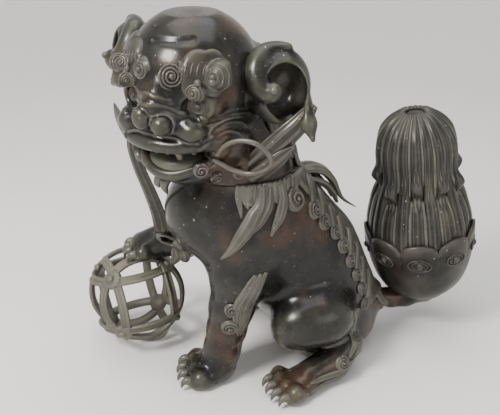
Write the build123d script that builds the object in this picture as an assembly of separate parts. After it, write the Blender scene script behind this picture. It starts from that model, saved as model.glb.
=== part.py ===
from build123d import *
import itertools
import math
import os

# Seated guardian lion with a lift-off head, an openwork ball and a plug-in tail. Millimetres.
# Modelling frame: midplane X=0, floor Z=0, the lion faces -Y and its left side is +X.

# ---- driving dimensions -------------------------------------------------------------------
FRAME_CENTRE = (0.0, 47.25)         # modelling-frame point that becomes the part's origin
WALL = 3.0                          # casting thickness of the torso and the head
LIMB_WALL = 5.0                     # casting thickness of the hollow limbs and the hair ruff
SEAM_GAP = 0.2                      # gap between the head and the neck rim
FIT_CLEARANCE = 0.3                 # radial clearance of the lift-off fits

NECK_CENTRE = (0.0, 2.0)
SEAM_Z = 174.0
NECK_RADIUS = 42.0
NECK_BORE = 36.0

HEAD_CENTRE = (2.0, -34.0, 235.0)
HEAD_YAW = 43.0                     # the head is turned to the lion's left

# spine sections: centre Y, centre Z, lean of the section plane in degrees, half width, half depth
TORSO_SECTIONS = [
    (2.0, SEAM_Z, 0.0, NECK_RADIUS, NECK_RADIUS),
    (3.0, 148.0, 12.0, 50.0, 58.0),
    (14.0, 122.0, 21.0, 52.0, 64.0),
    (38.0, 92.0, 33.0, 50.0, 58.0),
    (62.0, 64.0, 36.0, 50.0, 54.0),
    (74.0, 38.0, 26.0, 47.0, 50.0),
    (80.0, 15.0, 10.0, 40.0, 42.0),
    (80.0, 3.0, 0.0, 34.0, 36.0),
]
MANE_RISE = 3.5                     # thickness of the hair strip on the back
MANE_HALF_WIDTH = 24.0
MANE_START = 79.0                   # the strip starts behind the arched lock, at this Y
MANE_END = 145.0
MANE_LOW = 35.0                     # height of the strip's lower end
CORE_HOLE_RADIUS = 20.0
CORE_HOLE_Y = 80.0
VENT_CENTRE = (0.0, 68.0, 147.0)
VENT_LEAN = -42.0
VENT_RADIUS = 6.0
NAPE_ARCH = [(0, 44, 167, 5), (0, 58, 170, 5), (0, 73, 166, 5.5), (0, 83, 153, 6), (0, 84, 140, 7), (0, 97, 125, 2)]

# left-hand row of curls down the back: X, Y, Z, radius
CURLS = [
    (38, 34, 158, 7.5), (36, 52, 146, 7), (34, 66, 133, 6.5), (33, 77, 119, 6), (32, 86, 105, 6),
    (31, 93, 90, 6), (30, 99, 75, 6), (28, 103, 60, 6), (26, 106, 45, 5.5),
]

# hair on the body, as chains of joints: X, Y, Z, radius
FRONT_TRESS = [(43, 4, 171, 5), (50, -2, 154, 5.5), (52, -14, 138, 5), (47, -30, 126, 3)]
REAR_TRESS = [(42, 22, 171, 5), (50, 22, 156, 5.5), (53, 14, 140, 3)]
ELBOW_TUFT = [(34, 6, 84, 8), (32, 0, 62, 6), (31, -10, 44, 3)]
HOCK_FRINGE = [(65, 74, 19, 6.5), (72, 52, 20, 6), (77, 34, 17, 4.5)]

# limbs, as chains of joints: X, Y, Z, radius
FORELEG = [(28, -8, 116, 29), (31, -14, 84, 22), (30, -24, 54, 17.5), (30, -30, 32, 15.5), (30, -34, 14, 16.5)]
FORE_PAW = (30.0, -44.0, 10.0)
FORE_PAW_RADII = (19.0, 16.0, 13.0)
FORE_TOES = (30.0, -55.0, 10.0)
RAISED_LEG = [(-28, -14, 116, 27), (-36, -34, 95, 19), (-40, -56, 92, 13), (-41, -68, 91, 11.5)]
RAISED_PAW = (-41.0, -77.0, 88.0)
RAISED_PAW_RADII = (16.0, 14.0, 10.5)
RAISED_TOES = (-41.0, -87.0, 88.0)
HAUNCH = (38.0, 50.0, 58.0, 37.0)
KNEE = (56.0, 24.0, 56.0, 18.0)
HIND_FOOT = [(58, 70, 10, 12.5), (63, 44, 12, 14.5), (68, 24, 12, 14.5)]
HIND_PAW = (70.0, 16.0, 9.5)
HIND_PAW_RADII = (17.0, 13.0, 12.0)
HIND_TOES = (71.0, 6.0, 9.5)
TOE_COUNT = 4
TOE_SPACING = 9.0
TOE_RADIUS = 7.0
TOE_DROP = 2.0                      # toe centres lie this far below the line of the toes
CLAW_RADII = (3.2, 0.8)
CLAW_LENGTH = 8.0
CLAW_WAY = (0, -1, -0.35)           # claws point forward and down

# ball
BALL_CENTRE = (-44.0, -82.0, 41.0)
BALL_RADIUS = 40.5
BALL_TILT = (5.0, -11.0, 0.0)       # rotation about X, Y and Z in degrees
BAND_WIDTH = 6.0
BAND_THICKNESS = 2.6
BALL_PLAY = 0.3                     # gap between the ball and the underside of the paw
STUD_RADIUS = 5.0
STUD_GAP = 0.4                      # the studs stand this far off the bands
PIN_FOOT = (-28.0, -84.0, 74.0)
PIN_RADIUS = 2.0
PIN_LENGTH = 16.0
WRIST_BOW = [(-25, -50, 104, 4), (-27, -62, 97, 5), (-24, -62, 84, 4)]

# incense cup and the ring that carries it
LEDGE_Z = 160.0
LEDGE_THICKNESS = 5.0
LEDGE_INNER = 27.5
CUP_RADIUS = 26.5
CUP_DEPTH = 42.0
CUP_WALL = 1.5
FLANGE_RADIUS = 31.0
FLANGE_THICKNESS = 1.8
SPIGOT_INNER = 32.4
SPIGOT_DEPTH = 8.0

# head, in its own axes: X left, Y back, Z up, from the middle of the skull
SKULL = (0.0, 0.0, 12.0, 49.0)
MUZZLE = ((0.0, -31.0, -8.0), (34.0, 22.0, 20.0))
NOSTRIL = (8.0, -49.0, -5.0, 8.0)
WHISKER_PAD = (26.0, -43.0, -10.0, 10.0)
JAW = ((0.0, -25.0, -41.0), (32.0, 24.0, 13.0))
MOUTH_TOP = -27.0
MOUTH_FLOOR = -35.0
MOUTH_WIDTH = 44.0
MOUTH_BACK = -5.0
TONGUE = [(0, -24, MOUTH_FLOOR, 6), (0, -38, MOUTH_FLOOR, 6)]
TOOTH_RADII = (2.6, 1.0)
UPPER_TEETH = [(-18, -41, 7), (-10, -45, 4), (-3, -47, 4), (3, -47, 4), (10, -45, 4), (18, -41, 7)]
LOWER_TEETH = [(-21, -35, -6), (-14, -39, -3.5), (14, -39, -3.5), (21, -35, -6)]
EYE = (22.0, -42.0, 10.0, 8.0)
BROW = ((30.0, -38.0, 25.0), (20.0, 11.0, 10.0))
EAR = [(58, 4, 34, 13), (65, 6, 20, 16), (66, 8, 6, 13)]
EAR_HOLLOW = [(66, -3, 33, 9.5), (73, -1, 20, 12), (73, 1, 7, 9.5)]
FLAME_SWEEP = [(40, 16, -22, 9), (56, 24, -14, 8), (70, 30, -6, 4), (76, 33, 2, 2)]
FLAME_BARB = [(56, 24, -14, 8), (72, 28, -20, 3)]
BEARD_MIDDLE = [(0, -40, -48, 8), (0, -43, -58, 4)]
BEARD_SIDE = [(14, -38, -47, 7), (17, -40, -57, 3)]
LOOP_CENTRE = (56.0, -22.0, -29.0)
LOOP_HALF_WIDTH = 19.0
LOOP_HALF_HEIGHT = 15.0
LOOP_BAND = 4.0

# hair ruff and ribbon, in the modelling frame
RUFF = [(-6, -8, 262, 34), (-4, 8, 226, 34), (0, 22, 198, 26), (0, 40, 181, 8), (0, 50, 178, 3)]
RIBBON = [(-8, -74, 207), (-6, -87, 196), (-10, -86, 176), (-18, -79, 150), (-27, -75, 128), (-32, -74, 113)]
RIBBON_WIDTHS = [6, 7, 9, 12, 13, 12]
RIBBON_THICKNESS = 2.4
RIBBON_SIDE = (0.8, -0.6, 0.1)      # direction of the ribbon's width

# tail
TAIL_FOOT = (1.0, 175.0, 18.0)      # lowest point of the tail's own axis
TAIL_LEAN = 7.0                     # the plume leans forward by this angle
CUP_PROFILE = [(10.0, 4.0), (30.0, 14.0), (42.0, 32.0), (47.0, 62.0), (44.0, 70.0)]
PLUME_PROFILE = [(43.0, 70.3), (41.0, 90.0), (35.0, 116.0), (33.5, 140.0), (28.0, 158.0), (19.0, 170.0)]
TAIL_WALL = 2.5
PLUME_SLOTS = 12
PLUME_SLOT_WIDTH = 4.0
PLUME_SLOT_HEIGHT = 40.0
PLUME_SLOT_MIDDLE = 112.0
TOP_RING_RADIUS = 17.0
TOP_RING_SECTION = 4.0
TENON_BASE = (0.0, 128.0, 28.0)
TENON_RISE = 20.0                   # the tenon slopes down into the rump by this angle
TENON_RADIUS = 8.0
TENON_LENGTH = 16.0
TAIL_ARM = [(0.5, 152, 27, 11), (1, 168, 26, 12)]
TAIL_ARM_RADIUS = 10.0
SOCKET_RADIUS = 15.0
SOCKET_DEPTH = 18.0

BIG = 400.0                         # larger than any part of the lion, for trimming blocks


# ---- helpers ------------------------------------------------------------------------------
def sphere(x, y, z, radius):
    return Pos(x, y, z) * Sphere(radius)


def ellipsoid(centre, radii):
    return Pos(*centre) * scale(Sphere(1), by=tuple(float(radius) for radius in radii))


def limb(joints):
    """Round joints joined by cone frusta, as one solid."""
    solid = sphere(*joints[0])
    for start, end in zip(joints, joints[1:]):
        low = Vector(*start[:3])
        axis = Vector(*end[:3]) - low
        plane = Plane(origin=low, z_dir=axis)
        solid += Solid.make_cone(start[3] * 0.985, end[3] * 0.97, axis.length, plane)
        solid += sphere(*end)
    return solid


def limb_hollow(joints):
    """The space inside a hollow limb."""
    return limb([(x, y, z, radius - LIMB_WALL) for x, y, z, radius in joints])


def mirrored(solid):
    return mirror(solid, about=Plane.YZ)


def joined(solids):
    first, *rest = solids
    return first.fuse(*rest)


def ribbon(points, across, widths, thickness):
    """Flat band along a polyline, with its width along one direction."""
    vectors = [Vector(*point) for point in points]
    faces = []
    for index, point in enumerate(vectors):
        before = vectors[max(index - 1, 0)]
        after = vectors[min(index + 1, len(vectors) - 1)]
        travel = (after - before).normalized()
        side = Vector(*across)
        side = side - travel * side.dot(travel)
        plane = Plane(origin=point, x_dir=side, z_dir=travel)
        faces.append(plane * Rectangle(widths[index], thickness))
    return loft(faces, ruled=True)


def block_below(height):
    return Pos(0, 0, height - BIG / 2) * Box(BIG, BIG, BIG)


def block_above(height):
    return Pos(0, 0, height + BIG / 2) * Box(BIG, BIG, BIG)


def toes(row):
    """Round toes in a slightly curved row, each with a claw."""
    solids = []
    x, y, z = row
    for index in range(TOE_COUNT):
        across = (index - (TOE_COUNT - 1) / 2) * TOE_SPACING
        set_back = abs(across) * 0.3
        solids.append(sphere(x + across, y + set_back, z - TOE_DROP, TOE_RADIUS))
        root = Plane((x + across, y + set_back - TOE_RADIUS * 0.6, z - 2 * TOE_DROP), z_dir=CLAW_WAY)
        solids.append(Solid.make_cone(*CLAW_RADII, CLAW_LENGTH, root))
    return joined(solids)


def head_place(solid):
    """Moves a solid from the head's own axes to the modelling frame."""
    return Location(HEAD_CENTRE, (0, 0, HEAD_YAW)) * solid


def export(name, solid):
    placed = Pos(-FRAME_CENTRE[0], -FRAME_CENTRE[1], 0) * solid
    placed.label = name
    export_step(placed, os.path.join("parts", name + ".step"))


# ---- torso --------------------------------------------------------------------------------
def torso_form(inset):
    """Solid form of the torso, made smaller all round by the inset."""
    faces = []
    for y, z, lean, half_width, half_depth in TORSO_SECTIONS:
        plane = Plane((0, y, z)).rotated((lean, 0, 0))
        faces.append(plane * Ellipse(half_width - inset, half_depth - inset))
    return loft(faces)


def vent_hole():
    return Pos(*VENT_CENTRE) * Rot(VENT_LEAN, 0, 0) * Cylinder(VENT_RADIUS, 60)


def socket_axis(offset):
    """Plane across the tenon, at a distance out of the rump along its axis."""
    rise = math.radians(TENON_RISE)
    outward = Vector(0, math.cos(rise), math.sin(rise))
    return Plane(origin=Vector(*TENON_BASE) + outward * offset, z_dir=outward)


def torso_shell(outer):
    cavity = torso_form(WALL) - block_below(TORSO_SECTIONS[-1][1] + WALL)
    cavity -= block_above(LEDGE_Z - 4)
    bore = Pos(*NECK_CENTRE, SEAM_Z - 12) * Cylinder(NECK_BORE, 40)
    hole = Pos(0, CORE_HOLE_Y, 0) * Cylinder(CORE_HOLE_RADIUS, 30)
    return outer - cavity - bore - hole - vent_hole()


def belly_cover():
    z = TORSO_SECTIONS[-1][1]
    return Pos(0, CORE_HOLE_Y, z + WALL / 2) * Cylinder(CORE_HOLE_RADIUS, WALL)


def neck_ledge():
    place = Pos(*NECK_CENTRE, LEDGE_Z + LEDGE_THICKNESS / 2)
    return place * (Cylinder(NECK_BORE, LEDGE_THICKNESS) - Cylinder(LEDGE_INNER, LEDGE_THICKNESS))


def incense_cup():
    flange_z = LEDGE_Z + LEDGE_THICKNESS + SEAM_GAP
    base_z = flange_z - CUP_DEPTH
    place = Pos(*NECK_CENTRE, 0)
    wall = Pos(0, 0, base_z + CUP_DEPTH / 2) * Cylinder(CUP_RADIUS, CUP_DEPTH)
    hollow = Pos(0, 0, base_z + CUP_WALL + CUP_DEPTH / 2 + 5) * Cylinder(CUP_RADIUS - CUP_WALL, CUP_DEPTH + 10)
    flange = Pos(0, 0, flange_z + FLANGE_THICKNESS / 2) * Cylinder(FLANGE_RADIUS, FLANGE_THICKNESS)
    return place * (wall + flange - hollow)


def spine_mane(outer):
    """Raised strip of hair down the back, with a scalloped row of curls on each edge."""
    length = MANE_END - MANE_START
    height = SEAM_Z - MANE_LOW
    region = Pos(0, MANE_START + length / 2, MANE_LOW + height / 2) * Box(MANE_HALF_WIDTH * 2, length, height)
    return (torso_form(-MANE_RISE) & region) - outer - vent_hole()


def nape_mane(outer):
    """Raised lock that arches over the smoke vent behind the neck."""
    return limb(NAPE_ARCH) - torso_form(-MANE_RISE) - outer


def spine_curls(outer, strip):
    """Two rows of round curls along the edges of the hair strip."""
    group = []
    for x, y, z, radius in CURLS:
        curl = sphere(x, y, z, radius) - outer - strip
        group.append(curl)
        group.append(mirrored(curl))
    return Compound(group)


def shoulder_locks(outer):
    """Long tresses that hang from the seam over the shoulder."""
    rim = block_above(SEAM_Z)
    return limb(FRONT_TRESS) - outer - rim, limb(REAR_TRESS) - outer - rim


def elbow_tuft(leg):
    return limb(ELBOW_TUFT) - leg


def hock_fringe(leg):
    return limb(HOCK_FRINGE) - leg


# ---- limbs --------------------------------------------------------------------------------
def foreleg(outer):
    leg = limb(FORELEG) + ellipsoid(FORE_PAW, FORE_PAW_RADII) + toes(FORE_TOES)
    return leg - limb_hollow(FORELEG[:-1]) - outer - block_below(0)


def raised_leg(outer):
    leg = limb(RAISED_LEG) + ellipsoid(RAISED_PAW, RAISED_PAW_RADII) + toes(RAISED_TOES)
    ball = sphere(*BALL_CENTRE, BALL_RADIUS + BAND_THICKNESS / 2 + BALL_PLAY)
    return leg - limb_hollow(RAISED_LEG[:-1]) - outer - ball


def hind_leg(outer):
    thigh = limb([HAUNCH, KNEE]) - limb_hollow([HAUNCH, KNEE])
    foot = limb(HIND_FOOT) + ellipsoid(HIND_PAW, HIND_PAW_RADII) + toes(HIND_TOES)
    return thigh + foot - outer - block_below(0)


# ---- ball ---------------------------------------------------------------------------------
def ball_place(solid):
    return Location(BALL_CENTRE, BALL_TILT) * solid


def brocade_ball():
    """Six round bands, one about each face axis of a cube; three bands cross at every corner."""
    reach = BALL_RADIUS / math.sqrt(3)
    radius = BALL_RADIUS * math.sqrt(2 / 3)
    slope = math.degrees(math.atan2(radius, reach))
    turns = (Rot(0, 0, 0), Rot(180, 0, 0), Rot(90, 0, 0), Rot(-90, 0, 0), Rot(0, 90, 0), Rot(0, -90, 0))
    bands = []
    for index, turn in enumerate(turns):
        # each band is a little thicker than the last, so that no two crossing faces coincide
        thickness = BAND_THICKNESS + index * 0.05
        width = BAND_WIDTH + index * 0.07
        section = Plane.XZ * Pos(radius, reach) * Rot(0, 0, 90 - slope) * Rectangle(thickness, width)
        bands.append(turn * revolve(section, Axis.Z))
    return ball_place(joined(bands))


def ball_studs():
    """Domed studs on the eight places where three bands cross."""
    dome = Sphere(STUD_RADIUS) - block_below(0)
    group = []
    for corner in itertools.product((-1, 1), repeat=3):
        base = Vector(*corner).normalized() * (BALL_RADIUS + BAND_THICKNESS / 2 + STUD_GAP)
        group.append(ball_place(Plane(origin=base, z_dir=base) * dome))
    return Compound(group)


def ball_pin():
    """Pin through the crossing bands into the raised paw."""
    outward = Vector(*PIN_FOOT) - Vector(*BALL_CENTRE)
    plane = Plane(origin=PIN_FOOT, z_dir=outward)
    return plane * Pos(0, 0, PIN_LENGTH / 2) * Cylinder(PIN_RADIUS, PIN_LENGTH)


# ---- head ---------------------------------------------------------------------------------
def head_form(inset):
    """Skull, neck and muzzle as one solid, made smaller all round by the inset."""
    neck = [(2, -34, 247, 49 - inset), (1, -14, 208, 46 - inset), (0, 2, 176, NECK_RADIUS - inset)]
    muzzle_centre, muzzle_radii = MUZZLE
    muzzle = ellipsoid(muzzle_centre, [radius - inset for radius in muzzle_radii])
    return limb(neck) + head_place(muzzle)


def mouth_space():
    """Slot between the jaws, open to the front."""
    depth = 60.0
    place = Pos(0, MOUTH_BACK - depth / 2, (MOUTH_TOP + MOUTH_FLOOR) / 2)
    return head_place(place * Box(MOUTH_WIDTH, depth, MOUTH_TOP - MOUTH_FLOOR))


def head_shell(outer):
    cavity = head_form(WALL)
    bore = Pos(*NECK_CENTRE, SEAM_Z) * Cylinder(NECK_BORE, 20)
    shell = outer - cavity - bore - block_below(SEAM_Z + SEAM_GAP)
    x, y, z, radius = NOSTRIL
    for side in (-1, 1):
        shell += head_place(sphere(side * x, y, z, radius)) - cavity
    return shell - mouth_space()


def lower_jaw(outer):
    centre, radii = JAW
    bowl = head_place(ellipsoid(centre, radii))
    inner = head_place(ellipsoid(centre, [radius - WALL for radius in radii]))
    floor = head_place(block_below(MOUTH_FLOOR))
    return (bowl & floor) - inner - outer


def tongue():
    return head_place(limb(TONGUE) - block_below(MOUTH_FLOOR))


def teeth(row, height):
    """Small pointed teeth that start at one height; a negative length makes a tooth stand up."""
    solids = []
    for x, y, drop in row:
        root = Plane((x, y, height), z_dir=(0, 0, -math.copysign(1, drop)))
        solids.append(Solid.make_cone(*TOOTH_RADII, abs(drop), root))
    return head_place(joined(solids))


def eye(side, outer):
    x, y, z, radius = EYE
    return head_place(sphere(side * x, y, z, radius)) - outer


def brow(side, outer, eyes):
    centre, radii = BROW
    ridge = head_place(ellipsoid((side * centre[0], centre[1], centre[2]), radii))
    return ridge - outer - eyes


def sided(joints, side):
    """The same chain of joints on the left (side 1) or the right (side -1)."""
    return [(side * x, y, z, radius) for x, y, z, radius in joints]


def ear(side, outer):
    """Drooping scroll of an ear: a thick shell, open towards the front and the outside."""
    scroll = limb(sided(EAR, side)) - limb(sided(EAR_HOLLOW, side))
    return head_place(scroll) - outer


def head_mane(outer):
    """Hair ruff behind the skull; its tip reaches over the nape."""
    return limb(RUFF) - limb_hollow(RUFF[:3]) - outer - block_below(SEAM_Z + SEAM_GAP)


def flame_lock(side, outer, taken):
    """Pointed lock of hair that sweeps back from the jaw below the ear."""
    lock = limb(sided(FLAME_SWEEP, side)) + limb(sided(FLAME_BARB, side))
    solid = head_place(lock) - outer - block_below(SEAM_Z + SEAM_GAP)
    for other in taken:
        solid -= other
    return solid


def beard(outer):
    """Three tufts of hair under the jaw."""
    tufts = limb(BEARD_MIDDLE) + limb(BEARD_SIDE) + limb(sided(BEARD_SIDE, -1))
    return head_place(tufts - ellipsoid(*JAW)) - outer


def mouth_ribbon():
    """Ribbon from the right-hand corner of the mouth down to the raised wrist."""
    return ribbon(RIBBON, RIBBON_SIDE, RIBBON_WIDTHS, RIBBON_THICKNESS)


def ribbon_loop():
    """Oval loop of ribbon at the left-hand corner of the mouth."""
    outline = Ellipse(LOOP_HALF_WIDTH, LOOP_HALF_HEIGHT)
    window = Ellipse(LOOP_HALF_WIDTH - LOOP_BAND, LOOP_HALF_HEIGHT - LOOP_BAND)
    band = extrude(Plane.XZ * (outline - window), LOOP_BAND / 2, both=True)
    return head_place(Pos(*LOOP_CENTRE) * band)


def head_spigot():
    """Ring under the head that drops into the neck."""
    outer_radius = NECK_BORE - FIT_CLEARANCE
    height = SPIGOT_DEPTH + 12
    ring = Cylinder(outer_radius, height) - Cylinder(SPIGOT_INNER, height)
    return Pos(*NECK_CENTRE, SEAM_Z - SPIGOT_DEPTH + height / 2) * ring


def wrist_bow(leg, head_ribbon):
    """Bow of ribbon on the raised wrist."""
    return limb(WRIST_BOW) - leg - head_ribbon


# ---- tail ---------------------------------------------------------------------------------
def tail_place(solid):
    return Location(TAIL_FOOT, (TAIL_LEAN, 0, 0)) * solid


def turned_shell(profile, wall):
    """Round shell from an outer profile of radius and height."""
    outer = [(radius, height) for radius, height in profile]
    inner = [(max(radius - wall, 1), height) for radius, height in reversed(profile)]
    section = make_face(Plane.XZ * Polyline(*outer, *inner, close=True))
    return revolve(section, Axis.Z)


def tail_cup():
    """Scalloped bowl that holds the plume."""
    shell = turned_shell(CUP_PROFILE, TAIL_WALL)
    foot_radius, foot_height = CUP_PROFILE[0]
    floor = Pos(0, 0, foot_height + TAIL_WALL / 2) * Cylinder(foot_radius, TAIL_WALL)
    return tail_place(shell + floor)


def tail_plume():
    """Tapering plume, pierced between its locks of hair."""
    shell = turned_shell(PLUME_PROFILE, TAIL_WALL)
    slot = Pos(0, 30, PLUME_SLOT_MIDDLE) * Box(PLUME_SLOT_WIDTH, 40, PLUME_SLOT_HEIGHT)
    for index in range(PLUME_SLOTS):
        shell -= Rot(0, 0, 360 / PLUME_SLOTS * index) * slot
    return tail_place(shell)


def tail_ring():
    height = PLUME_PROFILE[-1][1]
    return tail_place(Pos(0, 0, height + TOP_RING_SECTION) * Torus(TOP_RING_RADIUS, TOP_RING_SECTION))


def cup_form():
    """The tail cup without its hollow."""
    axis_line = [(0, CUP_PROFILE[-1][1]), (0, CUP_PROFILE[0][1])]
    section = make_face(Plane.XZ * Polyline(*CUP_PROFILE, *axis_line, close=True))
    return tail_place(revolve(section, Axis.Z))


def tail_stem():
    """Stem under the cup, with the tenon that plugs into the rump."""
    shoulder = socket_axis(9 + SEAM_GAP).origin
    neck = socket_axis(SEAM_GAP + 5) * Cylinder(TAIL_ARM_RADIUS, 10)
    arm = limb([(*shoulder, TAIL_ARM_RADIUS), *TAIL_ARM])
    rim = socket_axis(SEAM_GAP - BIG / 2) * Box(BIG, BIG, BIG)
    tenon = socket_axis(1 - TENON_LENGTH / 2) * Cylinder(TENON_RADIUS, TENON_LENGTH)
    return arm + neck - rim + tenon - cup_form()


def tail_socket():
    """Collar on the rump with a blind bore for the tenon, and the same collar without its bore."""
    collar = socket_axis(-SOCKET_DEPTH / 2) * Cylinder(SOCKET_RADIUS, SOCKET_DEPTH)
    bore = socket_axis(0.5 - TENON_LENGTH / 2) * Cylinder(TENON_RADIUS + FIT_CLEARANCE, TENON_LENGTH + 1)
    return collar - bore, collar


# ---- build --------------------------------------------------------------------------------
def build():
    outer = torso_form(0)
    socket, collar = tail_socket()
    shell = torso_shell(outer) - collar
    strip = spine_mane(outer) - socket_axis(0) * Cylinder(SOCKET_RADIUS, 2 * BIG)
    crest = nape_mane(outer)
    curls = spine_curls(outer, strip + crest)
    left_fore = foreleg(outer)
    pin = ball_pin()
    cage = brocade_ball() - pin
    right_fore = raised_leg(outer) - pin
    left_hind = hind_leg(outer) - collar
    locks = shoulder_locks(outer)
    left_locks = locks[0] + locks[1] - left_fore
    right_locks = mirrored(locks[0] + locks[1]) - right_fore
    left_tuft = elbow_tuft(left_fore) - outer
    left_fringe = hock_fringe(left_hind) - outer
    head_outer = head_form(0)
    skull = head_shell(head_outer)
    jaw = lower_jaw(head_outer)
    eyes = [eye(side, head_outer) for side in (1, -1)]
    brows = [brow(side, head_outer, piece) for side, piece in zip((1, -1), eyes)]
    ears = [ear(side, head_outer) for side in (1, -1)]
    ruff = head_mane(head_outer) - ears[0] - ears[1]
    dangling = mouth_ribbon()
    parts = {
        "torso_shell": shell,
        "belly_cover": belly_cover(),
        "neck_ledge": neck_ledge(),
        "incense_cup": incense_cup(),
        "nape_mane": crest,
        "spine_mane": strip,
        "spine_curls": curls,
        "left_shoulder_locks": left_locks,
        "right_shoulder_locks": right_locks,
        "left_foreleg": left_fore,
        "right_foreleg": right_fore,
        "left_hind_leg": left_hind,
        "right_hind_leg": mirrored(left_hind),
        "left_elbow_tuft": left_tuft,
        "left_hock_fringe": left_fringe,
        "right_hock_fringe": mirrored(left_fringe),
        "brocade_ball": cage,
        "ball_studs": ball_studs(),
        "ball_pin": pin,
        "wrist_bow": wrist_bow(right_fore, dangling),
        "tail_socket": socket,
        "head_shell": skull,
        "lower_jaw": jaw,
        "tongue": tongue(),
        "upper_teeth": teeth(UPPER_TEETH, MOUTH_TOP),
        "lower_teeth": teeth(LOWER_TEETH, MOUTH_FLOOR),
        "left_eye": eyes[0],
        "right_eye": eyes[1],
        "left_brow": brows[0],
        "right_brow": brows[1],
        "left_ear": ears[0],
        "right_ear": ears[1],
        "head_mane": ruff,
        "left_flame_lock": flame_lock(1, head_outer, [ruff, ears[0]]),
        "right_flame_lock": flame_lock(-1, head_outer, [ruff, ears[1]]),
        "beard": beard(head_outer),
        "mouth_ribbon": dangling,
        "ribbon_loop": ribbon_loop() - head_outer,
        "head_spigot": head_spigot(),
        "tail_stem": tail_stem(),
        "tail_cup": tail_cup(),
        "tail_plume": tail_plume(),
        "tail_ring": tail_ring(),
    }
    os.makedirs("parts", exist_ok=True)
    for name, solid in parts.items():
        export(name, solid)


build()
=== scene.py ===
import math

import bpy
import numpy as np
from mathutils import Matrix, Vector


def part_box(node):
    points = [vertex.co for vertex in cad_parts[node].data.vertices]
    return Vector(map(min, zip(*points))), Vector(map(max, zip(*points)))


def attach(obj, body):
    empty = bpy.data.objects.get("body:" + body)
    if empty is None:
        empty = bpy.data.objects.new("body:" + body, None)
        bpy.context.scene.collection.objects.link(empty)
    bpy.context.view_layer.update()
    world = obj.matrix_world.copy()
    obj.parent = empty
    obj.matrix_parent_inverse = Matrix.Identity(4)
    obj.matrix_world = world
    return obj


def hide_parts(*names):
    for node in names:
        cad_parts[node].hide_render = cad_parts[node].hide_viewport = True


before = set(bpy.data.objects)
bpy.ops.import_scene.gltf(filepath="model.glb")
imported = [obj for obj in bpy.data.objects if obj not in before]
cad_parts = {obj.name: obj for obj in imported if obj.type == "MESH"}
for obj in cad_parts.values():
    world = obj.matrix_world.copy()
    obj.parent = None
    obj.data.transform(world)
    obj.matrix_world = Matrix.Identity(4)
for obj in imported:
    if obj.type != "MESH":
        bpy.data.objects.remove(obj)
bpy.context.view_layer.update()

import openvdb
from mathutils import Vector

# All shaping below is done in millimetres in the lion's own axes: midplane X=0, floor Z=0, the lion
# faces -Y and its left side is +X. The frame's origin lies FRAME_Y behind that of the lion's axes.
MM = 0.001
NECK_Y = 2.0
SEAM_Z = 174.0
SEAM_GAP = 0.3
FLOOR_GAP = 0.3

# Share of the faces that is kept when a sculpted mesh is thinned out.
THINNED = 0.4
BODY_THINNED = 0.3
EAR_THINNED = 0.35
neck_low, neck_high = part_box("neck_ledge")
FRAME_Y = NECK_Y - (neck_low[1] + neck_high[1]) / 2 / MM

# ---- camera ---------------------------------------------------------------------------------
VIEW_AZIMUTH = 74.0
VIEW_ELEVATION = 26.0
VIEW_DISTANCE = 560.0
VIEW_TARGET = (28.0, 0.0, 150.0)
LENS = 53.5

# ---- stage ----------------------------------------------------------------------------------
PAPER = (0.78, 0.765, 0.745)
PAPER_ROUGHNESS = 0.85
# Radius and height in metres of each ring of the paper, from the lion outwards.
PAPER_RINGS = [(0.0, 0.0), (0.6, 0.0), (0.9, 0.0), (1.15, 0.05), (1.35, 0.18), (1.5, 0.42), (1.58, 0.8),
               (1.6, 1.6)]
SKY = (0.93, 0.95, 1.0)
SKY_STRENGTH = 0.56
LIGHT_TARGET = (0, 0, 0.13)
# Each lamp's place, size, watts and colour.
LAMPS = {
    "key": ((0.35, -0.75, 0.95), (0.34, 0.28), 17.0, (1.0, 0.98, 0.95)),
    "top": ((-0.1, 0.0, 1.15), (0.9, 0.9), 9.0, (1, 1, 1)),
    "fill": ((1.0, 0.45, 0.5), (0.8, 0.5), 3.0, (0.95, 0.97, 1.0)),
}

# ---- head placing ---------------------------------------------------------------------------
HEAD_CENTRE = np.array([2.0, -34.0, 235.0])
HEAD_YAW = 43.0


# ---- vectors and curves ---------------------------------------------------------------------
def unit(vector):
    vector = np.asarray(vector, float)
    return vector / np.linalg.norm(vector)


def in_head(point):
    """Left, forward, up from the middle of the head to the lion's axes."""
    left, forward, up = point[:3]
    yaw = math.radians(HEAD_YAW)
    x = left * math.cos(yaw) + forward * math.sin(yaw)
    y = left * math.sin(yaw) - forward * math.cos(yaw)
    return np.array([x, y, up, *point[3:]]) + np.array([*HEAD_CENTRE, *np.zeros(len(point) - 3)])


def smooth(points, steps=8):
    """Catmull-Rom curve through points of any width, with the given steps per span."""
    points = np.asarray(points, float)
    padded = np.vstack([2 * points[0] - points[1], points, 2 * points[-1] - points[-2]])
    out = []
    for index in range(len(points) - 1):
        p0, p1, p2, p3 = padded[index:index + 4]
        for step in range(steps):
            t = step / steps
            out.append(0.5 * (2 * p1 + (p2 - p0) * t + (2 * p0 - 5 * p1 + 4 * p2 - p3) * t ** 2
                              + (3 * p1 - p0 - 3 * p2 + p3) * t ** 3))
    out.append(points[-1])
    return np.array(out)


# ---- clay: solids as signed distances on a grid ---------------------------------------------
def bone(start, end):
    """Round cone between two (x, y, z, radius) joints."""
    start = np.asarray(start, np.float32)
    end = np.asarray(end, np.float32)
    low = np.minimum(start[:3] - start[3], end[:3] - end[3])
    high = np.maximum(start[:3] + start[3], end[:3] + end[3])
    axis = end[:3] - start[:3]
    length = max(float(axis @ axis), 1e-6)

    def distance(x, y, z):
        dx, dy, dz = x - start[0], y - start[1], z - start[2]
        along = np.clip((dx * axis[0] + dy * axis[1] + dz * axis[2]) / length, 0, 1)
        gap = np.sqrt((dx - along * axis[0]) ** 2 + (dy - along * axis[1]) ** 2 + (dz - along * axis[2]) ** 2)
        return gap - (start[3] + along * (end[3] - start[3]))
    return low, high, distance


def chain(joints):
    return [bone(start, end) for start, end in zip(joints, joints[1:])]


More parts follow.
